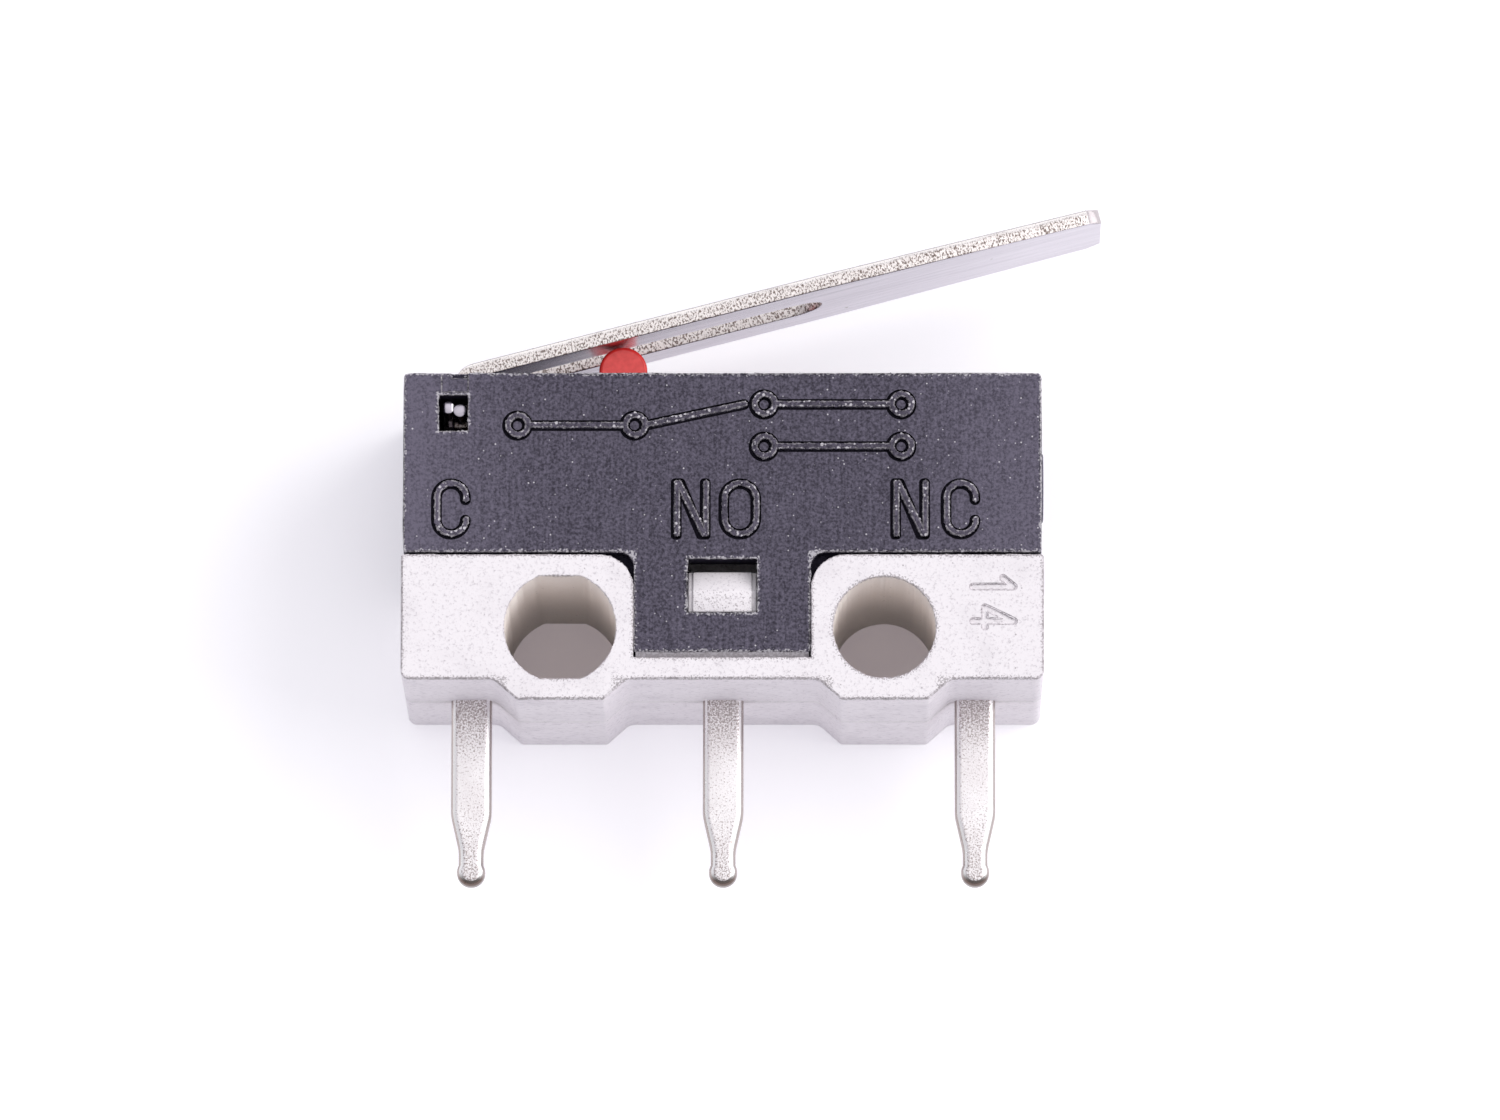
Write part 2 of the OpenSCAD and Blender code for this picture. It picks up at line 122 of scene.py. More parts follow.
class Outline:
    """Flat outlines in millimetres, as lists of points."""

    @staticmethod
    def box(left: float, right: float, low: float, high: float) -> list[Point]:
        """Four corners of an upright rectangle."""
        return [(left, low), (right, low), (right, high), (left, high)]

    @staticmethod
    def arc(centre: Point, radius: float, start: float, end: float, steps: int = 24) -> list[Point]:
        """Points along an arc, ends included.

        Args:
            centre: Middle of the arc.
            radius: Its radius.
            start: Angle of the first point, in degrees.
            end: Angle of the last point, in degrees.
            steps: Number of straight stretches.

        Returns:
            The points, in order.
        """
        angles = [math.radians(start + (end - start) * step / steps) for step in range(steps + 1)]
        return [(centre[0] + radius * math.cos(a), centre[1] + radius * math.sin(a)) for a in angles]

    @staticmethod
    def circle(centre: Point, radius: float, steps: int = 72) -> list[Point]:
        """Points all round a circle."""
        return Outline.arc(centre, radius, 0, 360, steps)[:-1]

    @staticmethod
    def rounded(corners: Sequence[Corner], steps: int = 8) -> list[Point]:
        """Polygon whose corners are rounded.

        Args:
            corners: X, y and radius of each corner, in order. A radius of 0 leaves the corner sharp.
            steps: Number of straight stretches in each round corner.

        Returns:
            The polygon's points.
        """
        points: list[Point] = []
        for index, (x, y, radius) in enumerate(corners):
            here = Vector((x, y))
            back = (Vector(corners[index - 1][:2]) - here).normalized()
            onward = (Vector(corners[(index + 1) % len(corners)][:2]) - here).normalized()
            if radius <= 0:
                points.append((x, y))
                continue
            half = back.angle(onward) / 2
            middle = here + (back + onward).normalized() * radius / math.sin(half)
            first = here + back * radius / math.tan(half) - middle
            last = here + onward * radius / math.tan(half) - middle
            start = math.degrees(math.atan2(first.y, first.x))
            turn = math.degrees(math.atan2(last.y, last.x)) - start
            turn = (turn + 180) % 360 - 180
            points += Outline.arc((middle.x, middle.y), radius, start, start + turn, steps)
        return points

    @staticmethod
    def ribbon(path: Sequence[Point], width: float, cap_steps: int = 0) -> list[Point]:
        """Strip of even width along an open path.

        Args:
            path: Points of the middle line.
            width: Width of the strip.
            cap_steps: Straight stretches in each round end. With 0 the ends are square.

        Returns:
            The strip's outline.
        """
        left: list[Point] = []
        right: list[Point] = []
        for index, point in enumerate(path):
            ahead = Vector(path[min(index + 1, len(path) - 1)])
            behind = Vector(path[max(index - 1, 0)])
            along = (ahead - behind).normalized()
            side = Vector((-along.y, along.x)) * width / 2
            left.append((point[0] + side.x, point[1] + side.y))
            right.append((point[0] - side.x, point[1] - side.y))
        if not cap_steps:
            return left + right[::-1]

        def cap(middle: Point, rim: Point) -> list[Point]:
            """Half circle round an end, clockwise from a point of its rim."""
            start = math.degrees(math.atan2(rim[1] - middle[1], rim[0] - middle[0]))
            return Outline.arc(middle, width / 2, start, start - 180, cap_steps)[1:-1]

        return left + cap(path[-1], left[-1]) + right[::-1] + cap(path[0], right[0])


class Bench:
    """Steps of modelling in millimetres, each done with Blender's own operators."""

    @staticmethod
    def pick(obj: bpy.types.Object) -> None:
        """Makes one object the only selected and active one."""
        bpy.ops.object.select_all(action="DESELECT")
        obj.select_set(True)
        bpy.context.view_layer.objects.active = obj

    @staticmethod
    def prism(name: str, outline: Sequence[Point], low: float, high: float) -> bpy.types.Object:
        """Flat outline drawn out along Z.

        Args:
            name: Name of the new object.
            outline: Points of the outline.
            low: Height of its lower face.
            high: Height of its upper face.

        Returns:
            The closed prism.
        """
        bpy.ops.object.select_all(action="DESELECT")
        bpy.ops.mesh.primitive_circle_add(vertices=len(outline), radius=1, fill_type="NGON")
        made = bpy.context.object
        made.name = name
        made.data.name = name
        for vertex, (x, y) in zip(made.data.vertices, outline):
            vertex.co = (x, y, low)
        bpy.ops.object.mode_set(mode="EDIT")
        bpy.ops.mesh.select_all(action="SELECT")
        bpy.ops.mesh.extrude_region_move(TRANSFORM_OT_translate={"value": (0, 0, high - low)})
        bpy.ops.mesh.select_all(action="SELECT")
        bpy.ops.mesh.normals_make_consistent(inside=False)
        bpy.ops.object.mode_set(mode="OBJECT")
        return made

    @staticmethod
    def block(name: str, low: Sequence[float], high: Sequence[float]) -> bpy.types.Object:
        """Square block between two corners."""
        return Bench.prism(name, Outline.box(low[0], high[0], low[1], high[1]), low[2], high[2])

    @staticmethod
    def turned(obj: bpy.types.Object, matrix: Matrix) -> bpy.types.Object:
        """Moves an object's mesh by a matrix and returns the object."""
        Bench.pick(obj)
        obj.matrix_world = matrix
        bpy.ops.object.transform_apply(location=True, rotation=True, scale=True)
        return obj

    @staticmethod
    def copied(obj: bpy.types.Object, matrix: Matrix) -> bpy.types.Object:
        """Copy of an object with its own mesh, moved by a matrix.

        Args:
            obj: Object to copy.
            matrix: Where the copy goes.

        Returns:
            The copy, with its faces pointing outwards.
        """
        Bench.pick(obj)
        bpy.ops.object.duplicate(linked=False)
        made = Bench.turned(bpy.context.object, matrix)
        bpy.ops.object.mode_set(mode="EDIT")
        bpy.ops.mesh.select_all(action="SELECT")
        bpy.ops.mesh.normals_make_consistent(inside=False)
        bpy.ops.object.mode_set(mode="OBJECT")
        return made

    @staticmethod
    def _combine(obj: bpy.types.Object, tools: Sequence[bpy.types.Object], operation: str) -> None:
        """Applies one exact boolean for each tool, and deletes the tools.

        Args:
            obj: Object to work on.
            tools: Objects that it is combined with.
            operation: Kind of boolean.
        """
        for tool in tools:
            Bench.pick(obj)
            modifier = obj.modifiers.new("Combine", "BOOLEAN")
            modifier.operation = operation
            modifier.solver = "EXACT"
            modifier.object = tool
            bpy.ops.object.modifier_apply(modifier=modifier.name)
            bpy.data.objects.remove(tool)

    @staticmethod
    def cut(obj: bpy.types.Object, *tools: bpy.types.Object) -> None:
        """Cuts each tool out of an object."""
        Bench._combine(obj, tools, "DIFFERENCE")

    @staticmethod
    def weld(obj: bpy.types.Object, *tools: bpy.types.Object) -> None:
        """Welds each tool to an object."""
        Bench._combine(obj, tools, "UNION")

    @staticmethod
    def join(obj: bpy.types.Object, *others: bpy.types.Object) -> None:
        """Makes closed forms that are sunk into an object part of it."""
        Bench.pick(obj)
        for other in others:
            other.select_set(True)
        bpy.ops.object.join()

    @staticmethod
    def select_edges(obj: bpy.types.Object, wanted: EdgeTest) -> None:
        """Selects the edges whose two ends pass a test, and enters edit mode.

        Args:
            obj: Object to work on.
            wanted: Test on an edge's two ends.
        """
        bpy.context.scene.tool_settings.mesh_select_mode = (False, True, False)
        Bench.pick(obj)
        mesh = obj.data
        bpy.ops.object.mode_set(mode="EDIT")
        bpy.ops.mesh.select_all(action="DESELECT")
        bpy.ops.object.mode_set(mode="OBJECT")
        for edge in mesh.edges:
            first, second = (mesh.vertices[index].co for index in edge.vertices)
            edge.select = wanted(first, second)
        bpy.ops.object.mode_set(mode="EDIT")

    @staticmethod
    def round_edges(obj: bpy.types.Object, width: float, steps: int, wanted: EdgeTest) -> None:
        """Rounds chosen edges in edit mode.

        Args:
            obj: Object to work on.
            width: How far the rounding reaches along each face.
            steps: Number of faces across it.
            wanted: Test on an edge's two ends.
        """
        Bench.select_edges(obj, wanted)
        bpy.ops.mesh.bevel(offset=width, segments=steps, affect="EDGES", clamp_overlap=False)
        bpy.ops.object.mode_set(mode="OBJECT")

    @staticmethod
    def round_rims(obj: bpy.types.Object, width: float, steps: int, heights: Sequence[float]) -> None:
        """Rounds the rims of a prism that lie at the given heights.

        Args:
            obj: Object to work on.
            width: How far the rounding reaches along each face.
            steps: Number of faces across it.
            heights: Heights of the rims.
        """

        def on_rim(first: Vector, second: Vector) -> bool:
            """True where both ends lie at one of the heights."""
            return any(abs(first.z - z) < LEVEL and abs(second.z - z) < LEVEL for z in heights)

        Bench.round_edges(obj, width, steps, on_rim)

    @staticmethod
    def soften(obj: bpy.types.Object, width: float, steps: int = 2, angle: float = 50) -> None:
        """Takes the sharpness off every edge that is steeper than an angle, in degrees.

        Args:
            obj: Object to work on.
            width: How far the rounding reaches along each face.
            steps: Number of faces across it.
            angle: Least angle between two faces, in degrees.
        """
        Bench.pick(obj)
        modifier = obj.modifiers.new("Soften", "BEVEL")
        modifier.width = width
        modifier.segments = steps
        modifier.limit_method = "ANGLE"
        modifier.angle_limit = math.radians(angle)
        modifier.use_clamp_overlap = False
        bpy.ops.object.modifier_apply(modifier=modifier.name)

    @staticmethod
    def groove(obj: bpy.types.Object, height: float, width: float, depth: float) -> None:
        """Presses a shallow groove into the upright sides of a prism.

        Args:
            obj: Prism along Z.
            height: Height of the groove's middle.
            width: Width of the groove.
            depth: Depth of the groove.
        """
        Bench.pick(obj)
        bpy.ops.object.mode_set(mode="EDIT")
        # The floor is a third of the width, and this is half of it
        floor = width / 6
        for level in (-width / 2, -floor, floor, width / 2):
            bpy.ops.mesh.select_all(action="SELECT")
            bpy.ops.mesh.bisect(plane_co=(0, 0, height + level), plane_no=(0, 0, 1))
        bpy.ops.object.mode_set(mode="OBJECT")

        def in_floor(first: Vector, second: Vector) -> bool:
            """True for an edge of the groove's floor."""
            return max(abs(first.z - height), abs(second.z - height)) < 2 * floor

        Bench.select_edges(obj, in_floor)
        bpy.ops.transform.shrink_fatten(value=-depth)
        bpy.ops.object.mode_set(mode="OBJECT")

    @staticmethod
    def fray(obj: bpy.types.Object, low: float, high: float, reach: float) -> None:
        """Makes the rims between two heights uneven, as on a worn moulding.

        Args:
            obj: Object to work on.
            low: Height above which the rims lie.
            high: Height below which they lie.
            reach: How far a point may move.
        """

        def between(first: Vector, second: Vector) -> bool:
            """True for an edge between the two heights."""
            return low < min(first.z, second.z) and max(first.z, second.z) < high

        def long_rim(first: Vector, second: Vector) -> bool:
            """True for a level edge that is still too long to look uneven."""
            level = abs(first.z - second.z) < LEVEL
            return between(first, second) and level and (first - second).length > FRAY_STEP

        for _ in range(FRAY_ROUNDS):
            Bench.select_edges(obj, long_rim)
            bpy.ops.mesh.subdivide(number_cuts=1)
            bpy.ops.object.mode_set(mode="OBJECT")
        Bench.select_edges(obj, between)
        bpy.ops.transform.vertex_random(offset=reach, seed=FRAY_SEED)
        bpy.ops.object.mode_set(mode="OBJECT")

    @staticmethod
    def hold(obj: bpy.types.Object, low: Vector, high: Vector) -> None:
        """Presses whatever stands out of a box back onto the box's faces.

        Args:
            obj: Object to work on.
            low: Lowest corner of the box.
            high: Highest corner of the box.
        """
        bpy.context.scene.tool_settings.mesh_select_mode = (True, False, False)
        Bench.pick(obj)
        for axis in range(3):
            for limit, side in ((low[axis], -1), (high[axis], 1)):
                bpy.ops.object.mode_set(mode="EDIT")
                bpy.ops.mesh.select_all(action="DESELECT")
                bpy.ops.object.mode_set(mode="OBJECT")
                outside = [point for point in obj.data.vertices if (point.co[axis] - limit) * side > 0]
                if not outside:
                    continue
                for point in outside:
                    point.select = True
                scale, centre = Vector((1, 1, 1)), Vector()
                scale[axis], centre[axis] = 0, limit
                bpy.ops.object.mode_set(mode="EDIT")
                bpy.ops.transform.resize(value=scale, center_override=centre)
                bpy.ops.object.mode_set(mode="OBJECT")

    @staticmethod
    def to_metres(obj: bpy.types.Object, smooth_angle: float = 40) -> None:
        """Brings a finished mesh to metres and gives it even shading.

        Args:
            obj: Object that was modelled in millimetres.
            smooth_angle: Angle in degrees under which neighbouring faces shade as one.
        """
        Bench.pick(obj)
        bpy.ops.object.mode_set(mode="EDIT")
        bpy.ops.mesh.select_all(action="SELECT")
        bpy.ops.mesh.remove_doubles(threshold=SAME_POINT)
        bpy.ops.object.mode_set(mode="OBJECT")
        Bench.turned(obj, Matrix.Scale(MILLIMETRE, 4))
        bpy.ops.object.shade_smooth_by_angle(angle=math.radians(smooth_angle))
        modifier = obj.modifiers.new("Even shading", "WEIGHTED_NORMAL")
        modifier.keep_sharp = True
        bpy.ops.object.modifier_apply(modifier=modifier.name)


class Wire:
    """One shader socket, with arithmetic that adds Math nodes."""

    def __init__(self, sheet: "Sheet", socket: bpy.types.NodeSocket) -> None:
        """Wraps an output socket of a sheet's node."""
        self.sheet = sheet
        self.socket = socket

    def _math(self, operation: str, first: Any, second: Any = 0.0, clamp: bool = False) -> "Wire":
        """Adds a Math node on two values or wires."""
        settings = {"operation": operation, "use_clamp": clamp}
        return self.sheet.wire(self.sheet.node("ShaderNodeMath", settings, {0: first, 1: second}), 0)

    def __add__(self, other: Any) -> "Wire":
        """Sum."""
        return self._math("ADD", self, other)

    def __radd__(self, other: Any) -> "Wire":
        """Sum with a number on the left."""
        return self._math("ADD", other, self)

    def __sub__(self, other: Any) -> "Wire":
        """Difference."""
        return self._math("SUBTRACT", self, other)

    def __rsub__(self, other: Any) -> "Wire":
        """Difference from a number on the left."""
        return self._math("SUBTRACT", other, self)

    def __mul__(self, other: Any) -> "Wire":
        """Product."""
        return self._math("MULTIPLY", self, other)

    def __rmul__(self, other: Any) -> "Wire":
        """Product with a number on the left."""
        return self._math("MULTIPLY", other, self)

    def __abs__(self) -> "Wire":
        """Size without its sign."""
        return self._math("ABSOLUTE", self)

    def least(self, other: Any) -> "Wire":
        """The smaller of two values."""
        return self._math("MINIMUM", self, other)

    def most(self, other: Any) -> "Wire":
        """The larger of two values."""
        return self._math("MAXIMUM", self, other)

    def clamped(self) -> "Wire":
        """The value held between 0 and 1."""
        return self._math("ADD", self, 0.0, clamp=True)

    def rise(self, low: float, high: float) -> "Wire":
        """Smooth step from 0 at one value to 1 at another, which may be the smaller one.

        Args:
            low: Value where the step is 0.
            high: Value where the step is 1.

        Returns:
            The step.
        """
        settings = {"interpolation_type": "SMOOTHSTEP"}
        inputs = {"Value": self, "From Min": min(low, high), "From Max": max(low, high)}
        step = self.sheet.wire(self.sheet.node("ShaderNodeMapRange", settings, inputs), "Result")
        return step if low < high else 1 - step


class Sheet:
    """Node sheet of one material, or of the world."""

    def __init__(self, tree: bpy.types.NodeTree) -> None:
        """Clears a node tree and starts on it."""
        self.tree = tree
        tree.nodes.clear()

    def node(
        self,
        kind: str,
        settings: dict[str, Any] | None = None,
        inputs: dict[str | int, Any] | None = None,
    ) -> bpy.types.Node:
        """Adds one node.

        Args:
            kind: Type of the node.
            settings: Its own settings, set first.
            inputs: Values or wires for its sockets, by name or number.

        Returns:
            The node.
        """
        made = self.tree.nodes.new(kind)
        for key, value in (settings or {}).items():
            setattr(made, key, value)
        for key, value in (inputs or {}).items():
            socket = made.inputs[key]
            if isinstance(value, Wire):
                self.tree.links.new(value.socket, socket)
            elif socket.type == "RGBA" and len(value) == 3:
                socket.default_value = (*value, 1.0)
            else:
                socket.default_value = value
        return made

    def wire(self, node: bpy.types.Node, output: str | int) -> Wire:
        """One output of a node."""
        return Wire(self, node.outputs[output])

    def place(self, stretch: Sequence[float] = (1, 1, 1), turn: float = 0) -> Wire:
        """Place on the piece in millimetres.

        Args:
            stretch: Factor on each axis, which makes a pattern finer along it.
            turn: Turn of the pattern about Z, in degrees.

        Returns:
            A wire that carries the place as a vector.
        """
        spot = self.wire(self.node("ShaderNodeTexCoord"), "Object")
        scale = tuple(MILLIMETRE / factor for factor in stretch)
        inputs = {"Vector": spot, "Scale": scale, "Rotation": (0, 0, math.radians(turn))}
        # This kind of mapping turns first and stretches afterwards
        return self.wire(self.node("ShaderNodeMapping", {"vector_type": "TEXTURE"}, inputs), "Vector")

    def axes(self, vector: Wire) -> tuple[Wire, Wire, Wire]:
        """The three parts of a vector."""
        node = self.node("ShaderNodeSeparateXYZ", None, {"Vector": vector})
        return self.wire(node, "X"), self.wire(node, "Y"), self.wire(node, "Z")

    def box(self, x: Wire, y: Wire, left: float, right: float, low: float, high: float) -> Wire:
        """Distance from a box's outline, below 0 inside it."""
        along = abs(x - (left + right) / 2) - (right - left) / 2
        return along.most(abs(y - (low + high) / 2) - (high - low) / 2)

    def disc(self, x: Wire, y: Wire, radius: float) -> Wire:
        """Distance from a circle about the origin, below 0 inside it."""
        vector = self.wire(self.node("ShaderNodeCombineXYZ", None, {"X": x, "Y": y}), "Vector")
        length = self.node("ShaderNodeVectorMath", {"operation": "LENGTH"}, {0: vector})
        return self.wire(length, "Value") - radius

    def noise(self, place: Wire, scale: float, detail: float = 2, roughness: float = 0.5) -> Wire:
        """Cloudy pattern between 0 and 1, with so many waves to a millimetre."""
        inputs = {"Vector": place, "Scale": scale, "Detail": detail, "Roughness": roughness}
        return self.wire(self.node("ShaderNodeTexNoise", None, inputs), 0)

    def specks(self, place: Wire, scale: float, size: float, share: float) -> Wire:
        """Scattered round specks of mixed sizes.

        Args:
            place: Place on the piece.
            scale: Cells to a millimetre, one speck at most in each.
            size: Radius of the largest speck, as a part of its cell.
            share: Part of the cells that hold a speck, between 0 and 1.

        Returns:
            Mask that is 1 inside a speck.
        """
        cells = self.node("ShaderNodeTexVoronoi", {"feature": "F1"}, {"Vector": place, "Scale": scale})
        colour = self.node("ShaderNodeSeparateColor", None, {"Color": self.wire(cells, "Color")})
        radius = ((self.wire(colour, "Red") - (1 - share)) * (size / share)).clamped()
        return ((radius - self.wire(cells, "Distance")) * (4 / size)).clamped()

    def mix(self, factor: Any, first: Any, second: Any) -> Wire:
        """Blend of two colours by a factor."""
        settings = {"data_type": "RGBA", "blend_type": "MIX"}
        node = self.node("ShaderNodeMix", settings, {0: factor, 6: first, 7: second})
        return self.wire(node, 2)

    def bump(self, height: Wire, depth: float) -> Wire:
        """Surface normal over a relief whose full depth is given in millimetres."""
        inputs = {"Height": height, "Strength": 1.0, "Distance": depth * MILLIMETRE}
        return self.wire(self.node("ShaderNodeBump", None, inputs), "Normal")


@dataclass(frozen=True)
class Finish:
    """Look of one material. A kind of finish says in paint() how its surface varies."""

    name: str

    def paint(self, sheet: Sheet) -> dict[str, Any]:
        """Values and wires for the surface's sockets."""
        raise NotImplementedError

    def material(self) -> bpy.types.Material:
        """Makes the material.

        Returns:
            The material.
        """
        made = bpy.data.materials.new(self.name)
        made.use_nodes = True
        sheet = Sheet(made.node_tree)
        surface = sheet.node("ShaderNodeBsdfPrincipled", None, self.paint(sheet))
        sheet.node("ShaderNodeOutputMaterial", None, {"Surface": sheet.wire(surface, "BSDF")})
        return made


@dataclass(frozen=True)
class SparkPlastic(Finish):
    """Dark moulded plastic with a fine spark-eroded grain and pale dust in it."""

    dark: Colour = (0.012, 0.009, 0.022)
    light: Colour = (0.129, 0.115, 0.165)
    dust: Colour = (0.62, 0.60, 0.64)
    dust_share: float = 0.6
    dust_size: float = 0.18
    dust_scale: float = 9.0
    grain_depth: float = 0.010
    roughness: float = 0.62
    gloss: float = 0.35
    # Width of the worn borders along the rims of the front and back
    border: float = 0.09
    # Distances from the middle between which painted light brightens the cover towards both ends, and on the
    # left once more
    painted_light_ends: Point = (3.0, 6.4)
    painted_light_left: Point = (5.4, 6.4)

    def _wear(self, sheet: Sheet, place: Wire) -> Wire:
        """Mask that grows towards the rims of the cover's front and back, and of their openings.

        Args:
            sheet: Sheet of the material.
            place: Place on the piece.

        Returns:
            Mask that is 1 on the rims.
        """
        x, y, z = sheet.axes(place)
        cover = Cover()
        left, right, low, high = cover.ear_hole
        inside = sheet.box(x, y, -cover.end, cover.end, cover.skirt, cover.top)
        inside = inside.least(sheet.box(x, y, -cover.tab_half, cover.tab_half, cover.tab_bottom, cover.top))
        window = sheet.box(x, y, -cover.window_half, cover.window_half, cover.window_low, cover.window_high)
        openings = window.least(sheet.box(x, y, left, right, low, high))
        below, above = (cover.middle - depth for depth in WEAR_DEPTH)
        level = abs(z - cover.middle).rise(below, above)
        return inside.most(openings * -1).rise(-self.border, 0) * level

    def paint(self, sheet: Sheet) -> dict[str, Any]:
        """Mottled grain with upright tool marks, specks of dust, ends brightened by painted light, and worn
        borders.

        Args:
            sheet: Sheet of the material.

        Returns:
            Values and wires for the surface's sockets.
        """
        place = sheet.place()
        along, _, _ = sheet.axes(place)
        grain = sheet.noise(place, scale=17, detail=3, roughness=0.75)
        hatch = sheet.noise(sheet.place(stretch=(22, 1.1, 22)), scale=1, detail=1)
        wear = self._wear(sheet, place)
        # Painted light: the cover is brighter towards both ends, and more so on the left.
        painted_light = abs(along).rise(*self.painted_light_ends) * 0.28 + (along * -1).rise(*self.painted_light_left) * 0.15
        tone = (grain.rise(0.32, 0.7) * 0.8 + hatch.rise(0.35, 0.65) * 0.16 + painted_light + 0.02).clamped()
        spots = sheet.noise(place, scale=21) + wear * 0.22
        flecks = spots.rise(0.65, 0.75) * wear.rise(0, 0.2) * 0.7
        dust = sheet.specks(place, self.dust_scale, self.dust_size, self.dust_share) * 0.85
        return {
            "Base Color": sheet.mix(dust.most(flecks), sheet.mix(tone, self.dark, self.light), self.dust),
            "Roughness": self.roughness - grain * 0.12,
            "Specular IOR Level": self.gloss,
            "Normal": sheet.bump(grain, self.grain_depth),
        }


@dataclass(frozen=True)
class WhitePlastic(Finish):
    """Pale matte moulded plastic with faint grey pits."""

    pale: Colour = (0.89, 0.855, 0.885)
    shade: Colour = (0.53, 0.495, 0.53)
    pit: Colour = (0.30, 0.27, 0.285)
    pit_share: float = 0.3
    pit_size: float = 0.17
    pit_scale: float = 8.0
    # Grain above which the plastic darkens
    grain_low: float = 0.5
    grain_depth: float = 0.006
    # How much finer the grain is along each axis
    stretch: tuple[float, float, float] = (1, 1, 1)
    # Width of the speckled borders along the rims of the front
    border: float = 0.13

    def _wear(self, sheet: Sheet, place: Wire) -> Wire:
        """Mask that grows towards the rims of the base's front, and of its holes.

        Args:
            sheet: Sheet of the material.
            place: Place on the piece.

        Returns:
            Mask that is 1 on the rims.
        """
        x, y, z = sheet.axes(place)
        base = Base()
        side = abs(x) - base.hole_x
        foot_half = (base.foot_half + base.foot_root_half) / 2
        inside = sheet.box(x, y, -base.end, base.end, base.bottom, base.shoulder)
        inside = inside.least(sheet.box(side, y, -foot_half, foot_half, base.foot_bottom, 0))
        recess = sheet.box(x, y, -base.recess_half, base.recess_half, base.recess_low, base.shoulder + PAST)
        openings = recess.least(sheet.disc(side, y, base.hole_radius))
        below, above = (base.thickness - depth for depth in WEAR_DEPTH)
        level = z.rise(below, above)
        return inside.most(openings * -1).rise(-self.border, 0) * level

    def paint(self, sheet: Sheet) -> dict[str, Any]:
        """Soft mottle, fine pits, a matte surface and speckled borders.

        Args:
            sheet: Sheet of the material.

        Returns:
            Values and wires for the surface's sockets.
        """
        place = sheet.place()
        grain = sheet.noise(sheet.place(self.stretch), scale=18, detail=3, roughness=0.7)
        cloud = sheet.noise(place, scale=1.1)
        wear = self._wear(sheet, place)
        spots = sheet.noise(place, scale=25) + wear * 0.22
        flecks = spots.rise(0.66, 0.76) * wear.rise(0, 0.2)
        pits = sheet.specks(place, self.pit_scale, self.pit_size, self.pit_share).most(flecks) * 0.7
        tone = (grain.rise(self.grain_low, 0.75) * 0.8 + cloud.rise(0.45, 0.8) * 0.2).clamped()
        return {
            "Base Color": sheet.mix(pits, sheet.mix(tone, self.pale, self.shade), self.pit),
            "Roughness": 0.5 + grain * 0.15,
            "Specular IOR Level": 0.35,
            "Normal": sheet.bump(grain, self.grain_depth),
        }


@dataclass(frozen=True)
class RedPlastic(Finish):
    """Smooth red moulded plastic."""

    bright: Colour = (0.90, 0.085, 0.081)
    deep: Colour = (0.76, 0.062, 0.060)

    def paint(self, sheet: Sheet) -> dict[str, Any]:
        """Slight clouding and a satin surface with fine scuffs.

        Args:
            sheet: Sheet of the material.

        Returns:
            Values and wires for the surface's sockets.
        """
        place = sheet.place()
        grain = sheet.noise(place, scale=7, detail=3)
        return {
            "Base Color": sheet.mix(grain.rise(0.3, 0.75), self.bright, self.deep),
            "Roughness": 0.28 + grain * 0.2,
            "Normal": sheet.bump(grain, depth=0.004),
        }


@dataclass(frozen=True)
class RolledSheet(Finish):
    """Smooth rolled face of stainless sheet, with a few nicks."""

    metal: Colour = (0.61, 0.575, 0.645)
    worn: Colour = (0.52, 0.485, 0.555)
    nick: Colour = (0.16, 0.13, 0.13)
    metallic: float = 1.0

    def paint(self, sheet: Sheet) -> dict[str, Any]:
        """Faint rolling marks along the sheet, and dark nicks.

        Args:
            sheet: Sheet of the material.

        Returns:
            Values and wires for the surface's sockets.
        """
        lines = sheet.noise(sheet.place(stretch=(0.35, 7, 7), turn=Lever().slope), scale=1, detail=3)
        nicks = sheet.specks(sheet.place(), scale=2, size=0.1, share=0.8)
        return {
            "Base Color": sheet.mix(nicks, sheet.mix(lines.rise(0.3, 0.8), self.metal, self.worn), self.nick),
            "Metallic": self.metallic,
            "Roughness": 0.14 + lines * 0.14,
            "Normal": sheet.bump(lines, depth=0.002),
        }


@dataclass(frozen=True)
class ShearedEdge(Finish):
    """Cut edge of the lever's sheet: a bright burnished band over a torn, speckled one."""

    bright: Colour = (0.92, 0.89, 0.875)
    torn: Colour = (0.80, 0.745, 0.73)
    pit: Colour = (0.17, 0.13, 0.115)
    # Height where the tear ends, how softly it ends, and how far its end wanders up and down
    tear_height: float = 0.23
    tear_blur: float = 0.03
    tear_wander: float = 0.07
    # Distances from the sheet's faces between which its rims darken
    dark_rim: Point = (0.03, 0.005)

    def paint(self, sheet: Sheet) -> dict[str, Any]:
        """Bands through the sheet's thickness, told apart by their height over its underside.

        Args:
            sheet: Sheet of the material.

        Returns:
            Values and wires for the surface's sockets.
        """
        place = sheet.place()
        x, y, _ = sheet.axes(place)
        lever = Lever()
        cosine = math.cos(math.radians(lever.slope))
        sine = math.sin(math.radians(lever.slope))
        underside = lever.pivot[1] * cosine - lever.pivot[0] * sine + lever.rise
        level = y * cosine - x * sine - underside
        wander = sheet.noise(place, scale=1.7) * (2 * self.tear_wander) - self.tear_wander
        torn = (level + wander).rise(self.tear_height + self.tear_blur, self.tear_height - self.tear_blur)
        ticks = sheet.noise(sheet.place((29, 18, 18), lever.slope), scale=1, detail=3, roughness=0.65)
        grit = sheet.noise(place, scale=26)
        below, above = (lever.thickness - depth for depth in self.dark_rim)
        rim = level.rise(below, above) + level.rise(*self.dark_rim)
        pits = (ticks.rise(0.5, 0.57) * torn * 0.95 + grit.rise(0.55, 0.7) * 0.3 + rim * 0.55).clamped()
        colour = sheet.mix(torn * 0.7, self.bright, self.torn)
        return {
            "Base Color": sheet.mix(pits, colour, self.pit),
            "Metallic": 1.0,
            "Roughness": 0.2 + torn * 0.15,
            "Normal": sheet.bump(ticks * torn, depth=0.008),
        }


